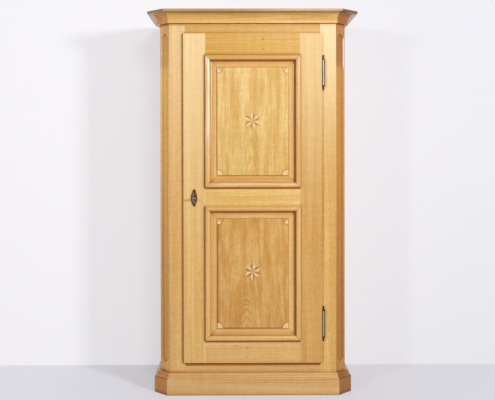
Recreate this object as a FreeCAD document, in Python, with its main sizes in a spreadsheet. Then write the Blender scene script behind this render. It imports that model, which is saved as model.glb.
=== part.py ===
import FreeCAD, Part
import os
import re
from math import atan2, hypot, sqrt

import Sketcher

# A bonnetiere: a tall one-door cabinet with canted corners, +Z up, front towards -Y.
# The origin is on the floor, in the middle of the width and of the overall depth.

doc = FreeCAD.newDocument("bonnetiere")
Vector = FreeCAD.Vector
right = Vector(1, 0, 0)
back = Vector(0, 1, 0)
up = Vector(0, 0, 1)

# Driving sizes in millimetres
sizes = [
    # carcass frame
    ("total_height", 1950),
    ("carcass_width", 950),
    ("carcass_depth", 450),
    ("cant_width", 51),
    ("stock", 28),
    ("corner_post_reach", 100),
    ("rear_post_width", 70),
    ("post_face_width", 80),
    ("opening_bottom", 167),
    ("front_top_rail_height", 59),
    ("rail_foot", 40),
    ("side_top_rail_height", 100),
    ("side_middle_rail_height", 90),
    ("side_bottom_rail_height", 160),
    # joints of the frame
    ("tenon_thickness", 10),
    ("front_tenon_length", 45),
    ("side_tenon_length", 35),
    ("back_tenon_length", 16),
    ("tenon_shoulder", 12),
    ("groove_depth", 10),
    ("panel_play", 1),
    ("cut_overrun", 4),
    # sunk panel on each cant
    ("recess_width", 49),
    ("recess_depth", 6),
    ("recess_point", 20),
    ("recess_margin", 5),
    # side panels
    ("side_panel_thickness", 10),
    ("side_field_raise", 7),
    ("side_field_bevel", 34),
    ("side_field_margin", 2),
    # back
    ("back_board_thickness", 15),
    ("back_board_foot", 30),
    ("back_rebate", 12),
    ("back_board_gap", 0.4),
    ("back_tongue_length", 6),
    ("back_tongue_thickness", 5),
    ("back_rail_thickness", 22),
    ("back_rail_height", 90),
    ("back_rail_cover", 15),
    # inside
    ("floor_thickness", 18),
    ("floor_drop", 4),
    ("ceiling_thickness", 15),
    ("ceiling_rise", 10),
    ("board_groove", 8),
    ("board_play", 1),
    ("shelf_thickness", 18),
    ("shelf_setback", 8),
    ("cleat_width", 20),
    ("cleat_height", 25),
    # cornice
    ("cornice_height", 65),
    ("cornice_reach", 63),
    ("cornice_seat", 20),
    ("cornice_foot_reach", 14),
    ("cornice_foot_height", 12),
    ("cornice_fascia", 11.5),
    ("cornice_soffit", 25),
    ("cornice_soffit_slope", 3),
    ("cornice_cove_radius", 43),
    ("lid_thickness", 12),
    ("lid_inset", 8),
    ("lid_play", 0.5),
    # plinth
    ("plinth_reach", 30.5),
    ("plinth_board_height", 78),
    ("plinth_quirk_depth", 4),
    ("plinth_quirk_height", 2),
    ("plinth_bead_height", 5),
    ("plinth_bead_set", 2.5),
    ("plinth_cove_radius", 12.5),
    ("plinth_neck_height", 5),
    ("plinth_top_radius", 5),
    # door frame
    ("door_overlap", 8),
    ("door_proud", 11),
    ("door_thickness", 27),
    ("lip_gap", 0.5),
    ("rebate_gap", 2),
    ("door_stile_width", 111),
    ("door_top_rail_height", 112),
    ("door_middle_rail_height", 99),
    ("door_bottom_rail_height", 115),
    ("upper_panel_share", 0.496),
    ("door_tenon_length", 45),
    # door panels
    ("panel_thickness", 9),
    ("panel_setback", 12),
    ("field_setback", 1.5),
    ("field_gap", 0.8),
    # mouldings round the door panels
    ("moulding_width", 60.5),
    ("moulding_lap", 3),
    ("crest_width", 27),
    ("crest_wall", 5.5),
    ("crest_radius", 16),
    ("quirk_drop", 2),
    ("quirk_width", 2),
    ("hollow_width", 9),
    ("hollow_radius", 10),
    ("band_setback", 6),
    # inlay
    ("inlay_depth", 2),
    ("star_radius", 49),
    ("upper_star_rise", 3),
    ("lower_star_rise", 10),
    ("star_hub", 3),
    ("fan_radius", 30),
    ("fan_rim", 2.2),
    # hinges
    ("hinge_length", 178),
    ("hinge_barrel_length", 133),
    ("hinge_barrel", 14.6),
    ("hinge_inset", 199),
    ("hinge_clearance", 0.4),
    ("hinge_gap", 0.3),
    ("hinge_pin", 7),
    ("hinge_pin_length", 45),
    ("hinge_pin_clearance", 0.06),
    ("hinge_ball", 8.8),
    ("hinge_neck", 6),
    ("hinge_collar_height", 3),
    ("hinge_leaf_thickness", 2),
    ("hinge_leaf_margin", 5),
    ("hinge_leaf_depth", 24),
    ("hinge_leaf_width", 27),
    ("hinge_leaf_root", 2),
    # lock
    ("lock_drop", 3.4),
    ("lock_case_width", 70),
    ("lock_case_height", 100),
    ("lock_case_depth", 14),
    ("lock_case_wall", 2),
    ("lock_case_setback", 2),
    ("bolt_length", 50),
    ("bolt_thickness", 7),
    ("bolt_height", 12),
    ("bolt_rise", 18),
    ("bolt_clearance", 0.3),
    ("bolt_throw", 12),
    ("strike_thickness", 1.5),
    ("strike_margin", 4),
    ("strike_length", 46),
    ("screw_head", 6.4),
    ("screw_head_height", 2),
    ("screw_shank", 3),
    ("screw_length", 18),
    ("screw_inset", 8),
    ("screw_clearance", 0.1),
    # escutcheon and key
    ("escutcheon_height", 85),
    ("escutcheon_width", 30),
    ("escutcheon_thickness", 2),
    ("escutcheon_pin", 3),
    ("escutcheon_pin_length", 10),
    ("escutcheon_pin_inset", 7),
    ("keyhole_clearance", 0.3),
    ("key_shaft", 6),
    ("key_stem", 34),
    ("key_bow", 26),
    ("key_bow_band", 4.5),
    ("key_bow_thickness", 4),
    ("key_collar", 10),
    ("key_collar_height", 4),
    ("key_collar_gap", 1),
    ("key_bit_reach", 15),
    ("key_bit_width", 8),
    ("key_bit_thickness", 3),
    ("key_end_gap", 0.5),
]

# Places that follow from the sizes; y is counted from the front face of the frame
derived = [
    ("face", "(cornice_reach - carcass_depth) / 2"),
    ("bend_share", "tan(22.5)"),
    ("side_half", "carcass_width / 2"),
    ("front_half", "side_half - cant_width"),
    ("inner_half", "side_half - stock"),
    ("opening_half", "front_half - post_face_width"),
    ("carcass_top", "total_height - cornice_height"),
    ("opening_top", "carcass_top - front_top_rail_height"),
    ("tenon_start", "(stock - tenon_thickness) / 2"),
    ("tenon_end", "(stock + tenon_thickness) / 2"),
    ("rear_post_front", "carcass_depth - rear_post_width"),
    ("back_face", "carcass_depth - back_board_thickness"),
    ("back_rail_front", "back_face - back_rail_thickness"),
    ("floor_top", "opening_bottom - floor_drop"),
    ("floor_base", "floor_top - floor_thickness"),
    ("ceiling_base", "opening_top + ceiling_rise"),
    ("shelf_front", "stock + shelf_setback"),
    ("shelf_back", "back_rail_front - board_play"),
    ("plinth_height", "plinth_board_height + plinth_quirk_height + plinth_bead_height"
                      " + plinth_cove_radius + plinth_neck_height + plinth_top_radius"),
    ("door_half", "opening_half + door_overlap"),
    ("door_base", "opening_bottom - door_overlap"),
    ("door_top", "opening_top + door_overlap"),
    ("door_back", "door_thickness - door_proud"),
    ("panel_half", "door_half - door_stile_width"),
    ("panel_front", "panel_setback - door_proud"),
    ("panel_back", "panel_front + panel_thickness"),
    ("field_front", "field_setback - door_proud"),
    ("upper_panel_top", "door_top - door_top_rail_height"),
    ("lower_panel_base", "door_base + door_bottom_rail_height"),
    ("panel_heights", "upper_panel_top - lower_panel_base - door_middle_rail_height"),
    ("upper_panel_base", "upper_panel_top - panel_heights * upper_panel_share"),
    ("lower_panel_top", "upper_panel_base - door_middle_rail_height"),
    ("middle_level", "(upper_panel_base + lower_panel_top) / 2"),
    ("side_base_top", "rail_foot + side_bottom_rail_height"),
    ("side_middle_base", "middle_level - side_middle_rail_height / 2"),
    ("side_middle_top", "middle_level + side_middle_rail_height / 2"),
    ("side_top_base", "carcass_top - side_top_rail_height"),
    ("hinge_x", "door_half + hinge_barrel / 2 + hinge_clearance"),
    ("hinge_y", "-(hinge_barrel / 2 + hinge_clearance)"),
    ("lock_level", "middle_level - lock_drop"),
    ("lock_x", "(door_stile_width - moulding_lap) / 2 - door_half"),
    ("case_left", "lock_case_setback + rebate_gap - opening_half"),
    ("case_right", "case_left + lock_case_width"),
    ("case_back", "door_back + lock_case_depth"),
    ("bolt_front", "door_back + (lock_case_depth - lock_case_wall - bolt_thickness) / 2"),
    ("bolt_back", "bolt_front + bolt_thickness"),
    ("bolt_base", "lock_level + bolt_rise"),
    ("bolt_top", "bolt_base + bolt_height"),
    ("plate_front", "-(door_proud + escutcheon_thickness)"),
    ("bow_centre", "-(door_proud + key_stem)"),
]

dims = doc.addObject("Spreadsheet::Sheet", "dims")
places = doc.addObject("Spreadsheet::Sheet", "places")
owner = {}


def linked(formula):
    return re.sub(r"[a-z_]+", lambda word: owner.get(word.group(), "") + word.group(), formula)


for row, (alias, size) in enumerate(sizes, start=1):
    dims.set("A%d" % row, alias.replace("_", " "))
    dims.set("B%d" % row, str(size))
    dims.setAlias("B%d" % row, alias)
    owner[alias] = "dims."
for row, (alias, formula) in enumerate(derived, start=1):
    places.set("A%d" % row, alias.replace("_", " "))
    places.set("B%d" % row, "=" + linked(formula).replace("places.", ""))
    places.setAlias("B%d" % row, alias)
    owner[alias] = "places."
doc.recompute()


def value(formula):
    return float(dims.evalExpression(linked(formula)))


# Solids bound to the sheets

def bind(item, name, formula):
    item.setExpression(name, linked(formula))


def place(item, x, y, z):
    bind(item, "Placement.Base.x", x)
    bind(item, "Placement.Base.y", "face + (%s)" % y)
    bind(item, "Placement.Base.z", z)
    return item


def turn(item, across, upward):
    item.Placement.Rotation = FreeCAD.Rotation(across, upward, across.cross(upward), "XYZ")
    return item


def both(formula):
    return "-(%s)" % formula, formula


def block(name, x, y, z):
    box = doc.addObject("Part::Box", name)
    for side, span in zip(("Length", "Width", "Height"), (x, y, z)):
        bind(box, side, "(%s) - (%s)" % (span[1], span[0]))
    return place(box, x[0], y[0], z[0])


def rod(name, radius, x, y, z):
    # a round rod along Y, from y[0] to y[1]
    cylinder = doc.addObject("Part::Cylinder", name)
    bind(cylinder, "Radius", radius)
    bind(cylinder, "Height", "(%s) - (%s)" % (y[1], y[0]))
    turn(cylinder, right, -up)
    return place(cylinder, x, y[0], z)


def fuse(name, *parts):
    item = doc.addObject("Part::MultiFuse", name)
    item.Shapes = list(parts)
    return item


def cut(name, base, *tools):
    item = doc.addObject("Part::Cut", name)
    item.Base = base
    item.Tool = tools[0] if len(tools) == 1 else fuse(name + "_tools", *tools)
    return item


def common(name, base, tool):
    item = doc.addObject("Part::Common", name)
    item.Base = base
    item.Tool = tool
    return item


def mirrored(source):
    item = doc.addObject("Part::Mirroring", source.Name + "_mirror")
    item.Source = source
    item.Normal = right
    return item


def group(name, *parts):
    item = doc.addObject("Part::Compound", name)
    item.Links = list(parts)
    return item


pieces = []


def piece(label, item):
    item.Label = label
    pieces.append(item)
    return item


def pair(label, item):
    piece(label + "_right", item)
    piece(label + "_left", mirrored(item))


# Sketched outlines: each corner is (x, y), or (x, y, radius, turn) where an arc leads to
# the next corner, turning left (1) or right (-1)

def arc_between(here, there, radius, turn_side):
    chord = there - here
    half = chord.Length / 2
    normal = Vector(-chord.y, chord.x, 0).normalize() * turn_side
    centre = (here + there) * 0.5 + normal * sqrt(max(radius * radius - half * half, 0))
    first, last = (here, there) if turn_side > 0 else (there, here)
    start = atan2(first.y - centre.y, first.x - centre.x)
    end = atan2(last.y - centre.y, last.x - centre.x)
    return Part.ArcOfCircle(Part.Circle(centre, up, radius), start, end)


def draw_loop(sketch, corners):
    base = sketch.GeometryCount
    spots = [Vector(value(corner[0]), value(corner[1]), 0) for corner in corners]
    heads = []
    for index, corner in enumerate(corners):
        here = spots[index]
        there = spots[(index + 1) % len(spots)]
        straight = len(corner) == 2
        heads.append(1 if straight or corner[3] > 0 else 2)
        if straight:
            sketch.addGeometry(Part.LineSegment(here, there), False)
        else:
            sketch.addGeometry(arc_between(here, there, value(corner[2]), corner[3]), False)
    for index, corner in enumerate(corners):
        after = (index + 1) % len(corners)
        tail = 3 - heads[index]
        rule = Sketcher.Constraint("Coincident", base + index, tail, base + after, heads[after])
        sketch.addConstraint(rule)
    for index, corner in enumerate(corners):
        spot = spots[index]
        for kind, formula, length in (("DistanceX", corner[0], spot.x), ("DistanceY", corner[1], spot.y)):
            rule = Sketcher.Constraint(kind, -1, 1, base + index, heads[index], length)
            sketch.setExpression("Constraints[%d]" % sketch.addConstraint(rule), linked(formula))
        if len(corner) > 2:
            rule = Sketcher.Constraint("Radius", base + index, value(corner[2]))
            sketch.setExpression("Constraints[%d]" % sketch.addConstraint(rule), linked(corner[2]))


def sketched(name, loops):
    body = doc.addObject("PartDesign::Body", name)
    sketch = body.newObject("Sketcher::SketchObject", name + "_sketch")
    plane = [item for item in body.Origin.OriginFeatures if item.Role == "XY_Plane"][0]
    sketch.AttachmentSupport = [(plane, "")]
    sketch.MapMode = "FlatFace"
    for corners in loops:
        draw_loop(sketch, corners)
    return body, sketch


def padded(name, loops, length, middle=False, taper=0):
    body, sketch = sketched(name, loops)
    pad = body.newObject("PartDesign::Pad", name + "_pad")
    pad.Profile = sketch
    pad.SideType = "Symmetric" if middle else "One side"
    pad.TaperAngle = taper
    bind(pad, "Length", length)
    return body


def turned(name, corners):
    # a round piece about its own Y axis
    body, sketch = sketched(name, [corners])
    spin = body.newObject("PartDesign::Revolution", name + "_spin")
    spin.Profile = sketch
    spin.ReferenceAxis = (sketch, ["V_Axis"])
    spin.Angle = 360
    return body


# Corners of the canted plan at a distance outside the carcass faces, to the right

def front_corner(reach):
    return "front_half + (%s) * bend_share" % reach, "-(%s)" % reach


def side_corner(reach):
    return "side_half + (%s)" % reach, "cant_width - (%s) * bend_share" % reach


def flipped(corner):
    return "-(%s)" % corner[0], corner[1]


# Corner posts: one bent section from the door opening round the cant to the side

post_plan = [
    ("opening_half", "0"),
    front_corner("0"),
    side_corner("0"),
    ("side_half", "corner_post_reach"),
    ("inner_half", "corner_post_reach"),
    side_corner("-stock"),
    front_corner("-stock"),
    ("opening_half", "stock"),
]
post_blank = place(padded("post_blank", [post_plan], "carcass_top"), "0", "0", "0")

recess_half = "recess_width / 2"
recess_base = "(door_base - recess_margin)"
recess_top = "(door_top + recess_margin)"
recess_plan = [
    ("0", recess_base),
    (recess_half, recess_base + " + recess_point"),
    (recess_half, recess_top + " - recess_point"),
    ("0", recess_top),
    ("-" + recess_half, recess_top + " - recess_point"),
    ("-" + recess_half, recess_base + " + recess_point"),
]
recess_bevel = -45
recess = padded("cant_recess", [recess_plan], "recess_depth", taper=recess_bevel)
turn(recess, -(right + back) * sqrt(0.5), up)
place(recess, "(front_half + side_half) / 2", "cant_width / 2", "0")

front_tenon = ("opening_half", "opening_half + front_tenon_length")
tenon_depth = ("tenon_start", "tenon_end")
top_rail_tenon = ("opening_top + tenon_shoulder", "carcass_top - tenon_shoulder")
base_rail_tenon = ("rail_foot + tenon_shoulder", "opening_bottom - tenon_shoulder")
side_rails = {
    "bottom": ("rail_foot", "side_base_top"),
    "middle": ("side_middle_base", "side_middle_top"),
    "top": ("side_top_base", "carcass_top"),
}
side_tenon_x = ("inner_half + tenon_start", "inner_half + tenon_end")
side_groove_x = (
    "side_half - (stock + side_panel_thickness) / 2",
    "side_half - (stock - side_panel_thickness) / 2",
)
side_groove_z = ("side_base_top - groove_depth", "side_top_base + groove_depth")


def shouldered(span):
    return "%s + tenon_shoulder" % span[0], "%s - tenon_shoulder" % span[1]


post_cuts = [
    recess,
    block("top_mortise", front_tenon, tenon_depth, top_rail_tenon),
    block("base_mortise", front_tenon, tenon_depth, base_rail_tenon),
    block("post_groove", side_groove_x, ("corner_post_reach - groove_depth", "corner_post_reach"),
          side_groove_z),
]
for name, span in side_rails.items():
    depth = ("corner_post_reach - side_tenon_length", "corner_post_reach")
    post_cuts.append(block("post_mortise_" + name, side_tenon_x, depth, shouldered(span)))
post = cut("post", post_blank, *post_cuts)

hinge_levels = {"upper": "(door_top - hinge_inset)", "lower": "(door_base + hinge_inset)"}
frame_leaf_x = ("hinge_x - hinge_leaf_thickness / 2", "hinge_x + hinge_leaf_thickness / 2")
leaf_rise = "(hinge_barrel_length / 2 - hinge_leaf_margin)"


def frame_leaf_z(level):
    return "%s - %s" % (level, leaf_rise), level + " - hinge_leaf_margin"


def door_leaf_z(level):
    return level + " + hinge_leaf_margin", "%s + %s" % (level, leaf_rise)


leaf_slots = [
    block("post_slot_" + name, frame_leaf_x, ("-cut_overrun", "hinge_leaf_depth"), frame_leaf_z(level))
    for name, level in hinge_levels.items()
]
piece("corner_post_right", cut("corner_post_right", post, *leaf_slots))

strike_x = ("-(opening_half + strike_thickness)", "-opening_half")
strike_y = ("bolt_front - strike_margin", "stock")
strike_z = ("(bolt_base + bolt_top - strike_length) / 2", "(bolt_base + bolt_top + strike_length) / 2")
bolt_slot_y = ("bolt_front - bolt_clearance", "bolt_back + bolt_clearance")
bolt_slot_z = ("bolt_base - bolt_clearance", "bolt_top + bolt_clearance")
mortise_x = ("-(opening_half + bolt_throw)", "-opening_half")
strike_seat = block("strike_seat", strike_x, strike_y, strike_z)
bolt_mortise = block("bolt_mortise", mortise_x, bolt_slot_y, bolt_slot_z)
piece("corner_post_left", cut("corner_post_left", mirrored(post), strike_seat, bolt_mortise))
strike_slot = block("strike_slot", mortise_x, bolt_slot_y, bolt_slot_z)
piece("strike_plate", cut("strike_plate", block("strike_blank", strike_x, strike_y, strike_z), strike_slot))

# Front rails, tenoned into the posts and grooved for the floor and the ceiling

front_rails = {
    "front_bottom_rail": (("rail_foot", "opening_bottom"), base_rail_tenon, ("floor_base", "floor_top")),
    "front_top_rail": (("opening_top", "carcass_top"), top_rail_tenon,
                       ("ceiling_base", "ceiling_base + ceiling_thickness")),
}
for name, (span, tenon_span, board_span) in front_rails.items():
    bar = block(name + "_bar", both("opening_half"), ("0", "stock"), span)
    tenons = block(name + "_tenons", both("opening_half + front_tenon_length"), tenon_depth, tenon_span)
    slot = block(name + "_slot", both("opening_half"), ("stock - board_groove", "stock"), board_span)
    piece(name, cut(name, fuse(name + "_blank", bar, tenons), slot))

# Rear posts, side rails and side panels

back_rails = {
    "bottom": ("floor_top + back_rail_cover - back_rail_height", "floor_top + back_rail_cover"),
    "middle": ("middle_level - back_rail_height / 2", "middle_level + back_rail_height / 2"),
    "top": ("carcass_top - back_rail_height", "carcass_top"),
}
back_tenon_y = (
    "back_rail_front + (back_rail_thickness - tenon_thickness) / 2",
    "back_rail_front + (back_rail_thickness + tenon_thickness) / 2",
)
rear_blank = block("rear_blank", ("inner_half", "side_half"), ("rear_post_front", "carcass_depth"),
                   ("0", "carcass_top"))
rear_cuts = [
    block("rear_groove", side_groove_x, ("rear_post_front", "rear_post_front + groove_depth"),
          side_groove_z),
    block("rear_rebate", ("inner_half", "inner_half + back_rebate"), ("back_face", "carcass_depth"),
          ("0", "carcass_top")),
]
for name, span in side_rails.items():
    depth = ("rear_post_front", "rear_post_front + side_tenon_length")
    rear_cuts.append(block("rear_mortise_" + name, side_tenon_x, depth, shouldered(span)))
for name, span in back_rails.items():
    reach = ("inner_half", "inner_half + back_tenon_length")
    rear_cuts.append(block("back_mortise_" + name, reach, back_tenon_y, shouldered(span)))
pair("rear_post", cut("rear_post", rear_blank, *rear_cuts))

side_grooves = {
    "bottom": ["side_base_top - groove_depth"],
    "middle": ["side_middle_base", "side_middle_top - groove_depth"],
    "top": ["side_top_base"],
}
side_run = ("corner_post_reach", "rear_post_front")
side_tenon_run = ("corner_post_reach - side_tenon_length", "rear_post_front + side_tenon_length")
for name, span in side_rails.items():
    label = "side_%s_rail" % name
    bar = block(label + "_bar", ("inner_half", "side_half"), side_run, span)
    tenons = block(label + "_tenons", side_tenon_x, side_tenon_run, shouldered(span))
    slots = [
        block("%s_slot%d" % (label, index), side_groove_x, side_run, (start, start + " + groove_depth"))
        for index, start in enumerate(side_grooves[name])
    ]
    pair(label, cut(label, fuse(label + "_blank", bar, tenons), *slots))

panel_bite = "groove_depth - panel_play"


def grown(span, amount):
    return "%s - (%s)" % (span[0], amount), "%s + (%s)" % (span[1], amount)


def raised_field(name, span):
    # a bevelled field that stands out of the right-hand side panel
    field = doc.addObject("Part::Wedge", name)
    ends = {"X": (side_run[1], side_run[0]), "Z": span}
    for axis, sign in (("X", "-"), ("Z", "")):
        low = "%s(%s)" % (sign, ends[axis][0])
        high = "%s(%s)" % (sign, ends[axis][1])
        bind(field, axis + "min", low + " + side_field_margin")
        bind(field, axis + "max", high + " - side_field_margin")
        bind(field, axis + "2min", low + " + side_field_margin + side_field_bevel")
        bind(field, axis + "2max", high + " - side_field_margin - side_field_bevel")
    field.Ymin = 0
    bind(field, "Ymax", "side_field_raise")
    turn(field, -back, right)
    return place(field, side_groove_x[1], "0", "0")


side_panels = {
    "lower": ("side_base_top", "side_middle_base"),
    "upper": ("side_middle_top", "side_top_base"),
}
for name, span in side_panels.items():
    label = "side_%s_panel" % name
    board = block(label + "_board", side_groove_x, grown(side_run, panel_bite), grown(span, panel_bite))
    pair(label, fuse(label, board, raised_field(label + "_field", span)))

# Back boards with tongues and grooves, on three rails

back_board_count = 7
back_reach = "(inner_half + back_rebate - board_play)"
back_pitch = "(2 * %s / %d)" % (back_reach, back_board_count)
tongue_y = (
    "back_face + (back_board_thickness - back_tongue_thickness) / 2",
    "back_face + (back_board_thickness + back_tongue_thickness) / 2",
)
back_run = ("back_board_foot", "carcass_top")
boards = []
for index in range(back_board_count):
    name = "back_board%d" % index
    left_edge = "(%s * %d - %s)" % (back_pitch, index, back_reach)
    right_edge = "(%s + %s - back_board_gap)" % (left_edge, back_pitch)
    board = block(name, (left_edge, right_edge), ("back_face", "carcass_depth"), back_run)
    if index < back_board_count - 1:
        tongue_x = (right_edge, right_edge + " + back_tongue_length")
        board = fuse(name + "_tongued", board, block(name + "_tongue", tongue_x, tongue_y, back_run))
    if index > 0:
        groove_x = (left_edge, left_edge + " + back_tongue_length")
        board = cut(name + "_grooved", board, block(name + "_groove", groove_x, tongue_y, back_run))
    boards.append(board)
piece("back_boards", group("back_boards", *boards))

board_slots = {
    "bottom": ("floor_base", "floor_top"),
    "top": ("ceiling_base", "ceiling_base + ceiling_thickness"),
}
rails = []
for name, span in back_rails.items():
    label = "back_%s_rail" % name
    bar = block(label + "_bar", both("inner_half"), ("back_rail_front", "back_face"), span)
    tenons = block(label + "_tenons", both("inner_half + back_tenon_length"), back_tenon_y, shouldered(span))
    rail = fuse(label, bar, tenons)
    if name in board_slots:
        slot_y = ("back_rail_front", "back_rail_front + board_groove")
        slot = block(label + "_slot", both("inner_half"), slot_y, board_slots[name])
        rail = cut(label + "_cut", rail, slot)
    rails.append(rail)
piece("back_rails", group("back_rails", *rails))

# Floor and ceiling in the grooves of the rails, shelves on cleats

board_reach = "-(stock + board_play)"
groove_seat = "stock - board_groove"


def mirrored_plan(corners):
    return corners + [flipped(corner) for corner in reversed(corners)]


def held_board(name, base, thickness):
    corners = [
        ("opening_half - board_play", groove_seat),
        ("opening_half - board_play", "stock + board_play"),
        front_corner(board_reach),
        side_corner(board_reach),
        ("inner_half - board_play", "back_rail_front + board_groove"),
    ]
    piece(name, place(padded(name, [mirrored_plan(corners)], thickness), "0", "0", base))


held_board("floor_board", "floor_base", "floor_thickness")
held_board("ceiling_board", "ceiling_base", "ceiling_thickness")

shelf_count = 3
shelf_plan = mirrored_plan([
    ("front_half - (stock + board_play) * (1 + bend_share) + shelf_front", "shelf_front"),
    side_corner(board_reach),
    ("inner_half - board_play", "shelf_back"),
])
cleats = []
for index in range(1, shelf_count + 1):
    level = "(floor_top + (ceiling_base - floor_top) * %d / %d)" % (index, shelf_count + 1)
    name = "shelf_%d" % index
    piece(name, place(padded(name, [shelf_plan], "shelf_thickness"), "0", "0", level))
    cleat = block(name + "_cleat", ("inner_half - cleat_width", "inner_half"),
                  ("cant_width + (stock + board_play) * bend_share", "shelf_back"),
                  (level + " - cleat_height", level))
    cleats += [cleat, mirrored(cleat)]
piece("shelf_cleats", group("shelf_cleats", *cleats))

# Mitred lengths of cornice and plinth round the front, the cants and the sides

def run_plan(run, outer, inner):
    ends = {
        "front": [flipped(front_corner(outer)), front_corner(outer)],
        "cant": [front_corner(outer), side_corner(outer)],
        "side": [side_corner(outer), ("side_half + (%s)" % outer, "carcass_depth")],
    }[run]
    returns = {
        "front": [front_corner(inner), flipped(front_corner(inner))],
        "cant": [side_corner(inner), front_corner(inner)],
        "side": [("side_half + (%s)" % inner, "carcass_depth"), side_corner(inner)],
    }[run]
    return ends + returns


run_places = {
    "front": (-back, "0", "0"),
    "cant": ((right - back) * sqrt(0.5), "(front_half + side_half) / 2", "cant_width / 2"),
    "side": (right, "side_half", "carcass_depth / 2"),
}


def mitred_runs(label, profile, base, height, outer, inner):
    for run, (outward, x, y) in run_places.items():
        name = "%s_%s" % (label, run)
        bar = padded(name + "_bar", [profile], "2 * (carcass_width + carcass_depth)", middle=True)
        place(turn(bar, outward, up), x, y, base)
        plan = run_plan(run, outer + " + cut_overrun", inner + " - cut_overrun")
        prism = padded(name + "_plan", [plan], height + " + 2 * cut_overrun")
        place(prism, "0", "0", base + " - cut_overrun")
        length = common(name, bar, prism)
        if run == "front":
            piece(name, length)
        else:
            pair(name, length)


cornice_profile = [
    ("-cornice_seat", "0"),
    ("cornice_foot_reach", "0"),
    ("cornice_foot_reach", "cornice_foot_height", "cornice_cove_radius", -1),
    ("cornice_reach - cornice_soffit", "cornice_height - cornice_fascia - cornice_soffit_slope"),
    ("cornice_reach", "cornice_height - cornice_fascia"),
    ("cornice_reach", "cornice_height"),
    ("-lid_inset", "cornice_height"),
    ("-lid_inset", "cornice_height - lid_thickness"),
    ("-cornice_seat", "cornice_height - lid_thickness"),
]
mitred_runs("cornice", cornice_profile, "carcass_top", "cornice_height", "cornice_reach", "-cornice_seat")

back_rail_x = both("side_half - cornice_seat")
back_rail_y = ("carcass_depth - cornice_seat", "carcass_depth")
back_rail_z = ("carcass_top", "total_height - lid_thickness")
piece("cornice_back_rail", block("cornice_back_rail", back_rail_x, back_rail_y, back_rail_z))

lid_reach = "-(lid_inset + lid_play)"
lid_plan = mirrored_plan([
    front_corner(lid_reach),
    side_corner(lid_reach),
    ("side_half + %s" % lid_reach, "carcass_depth"),
])
lid = padded("cornice_lid", [lid_plan], "lid_thickness")
piece("cornice_lid", place(lid, "0", "0", "total_height - lid_thickness"))

quirk_top = "plinth_board_height + plinth_quirk_height"
bead_reach = "plinth_reach - plinth_bead_set"
neck_reach = "%s - plinth_cove_radius" % bead_reach
cove_base = "%s + plinth_bead_height" % quirk_top
neck_base = "%s + plinth_cove_radius" % cove_base
plinth_profile = [
    ("0", "0"),
    ("plinth_reach", "0"),
    ("plinth_reach", "plinth_board_height"),
    ("plinth_reach - plinth_quirk_depth", "plinth_board_height + plinth_quirk_height / 2"),
    (bead_reach, quirk_top),
    (bead_reach, cove_base, "plinth_cove_radius", -1),
    (neck_reach, neck_base),
    (neck_reach, neck_base + " + plinth_neck_height", "plinth_top_radius", 1),
    (neck_reach + " - plinth_top_radius", "plinth_height"),
    ("0", "plinth_height"),
]
mitred_runs("plinth", plinth_profile, "0", "plinth_height", "plinth_reach", "0")

# Door frame, rebated round its edge so that a lip laps over the opening

door_y = ("-door_proud", "door_back")
door_z = ("door_base", "door_top")
rebate_y = ("-lip_gap", "door_back + cut_overrun")
rebate_top = ("opening_top - rebate_gap", "door_top + cut_overrun")
rebate_base = ("door_base - cut_overrun", "opening_bottom + rebate_gap")
panel_y = ("panel_front", "panel_back")
panel_x = both("panel_half + " + panel_bite)
door_rails = {
    "bottom": ("door_base", "lower_panel_base"),
    "middle": ("lower_panel_top", "upper_panel_base"),
    "top": ("upper_panel_top", "door_top"),
}
door_tenons = {
    "bottom": ("opening_bottom + rebate_gap + tenon_shoulder", "lower_panel_base - tenon_shoulder"),
    "middle": shouldered(door_rails["middle"]),
    "top": ("upper_panel_top + tenon_shoulder", "opening_top - rebate_gap - tenon_shoulder"),
}
stile_x = ("panel_half", "door_half")
stile_blank = block("stile_blank", stile_x, door_y, door_z)
stile_cuts = [
    block("stile_edge", ("opening_half - rebate_gap", "door_half + cut_overrun"), rebate_y, door_z),
    block("stile_top", ("panel_half", "door_half + cut_overrun"), rebate_y, rebate_top),
    block("stile_base", ("panel_half", "door_half + cut_overrun"), rebate_y, rebate_base),
    block("stile_groove", ("panel_half", "panel_half + groove_depth"), panel_y,
          ("lower_panel_base - groove_depth", "upper_panel_top + groove_depth")),
]
for name, span in door_tenons.items():
    reach = ("panel_half", "panel_half + door_tenon_length")
    stile_cuts.append(block("stile_mortise_" + name, reach, panel_y, span))
stile = cut("stile", stile_blank, *stile_cuts)

door_leaf_x = ("door_half - hinge_leaf_width", "door_half + cut_overrun")
door_leaf_y = ("hinge_y - hinge_leaf_thickness / 2", "hinge_y + hinge_leaf_thickness / 2")
stile_slots = [
    block("stile_slot_" + name, door_leaf_x, door_leaf_y, door_leaf_z(level))
    for name, level in hinge_levels.items()
]
piece("door_stile_right", cut("door_stile_right", stile, *stile_slots))

keyhole_reach = ("plate_front - cut_overrun", "door_back + cut_overrun")
keyhole_radius = "key_shaft / 2 + keyhole_clearance"
keyhole_slot_x = (
    "lock_x - key_bit_thickness / 2 - keyhole_clearance",
    "lock_x + key_bit_thickness / 2 + keyhole_clearance",
)
keyhole_slot_z = ("lock_level - key_bit_reach - keyhole_clearance", "lock_level")


def keyhole(name):
    bore = rod(name + "_bore", keyhole_radius, "lock_x", keyhole_reach, "lock_level")
    return fuse(name, bore, block(name + "_slot", keyhole_slot_x, keyhole_reach, keyhole_slot_z))


screw_spots = [(x, z)
               for x in ("case_left + screw_inset", "case_right - screw_inset")
               for z in ("lock_level - lock_case_height / 2 + screw_inset",
                         "lock_level + lock_case_height / 2 - screw_inset")]
screw_y = ("case_back - screw_length", "case_back")


def screw_bores(name):
    return [
        rod("%s%d" % (name, index), "screw_shank / 2 + screw_clearance", x, screw_y, z)
        for index, (x, z) in enumerate(screw_spots)
    ]


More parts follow.
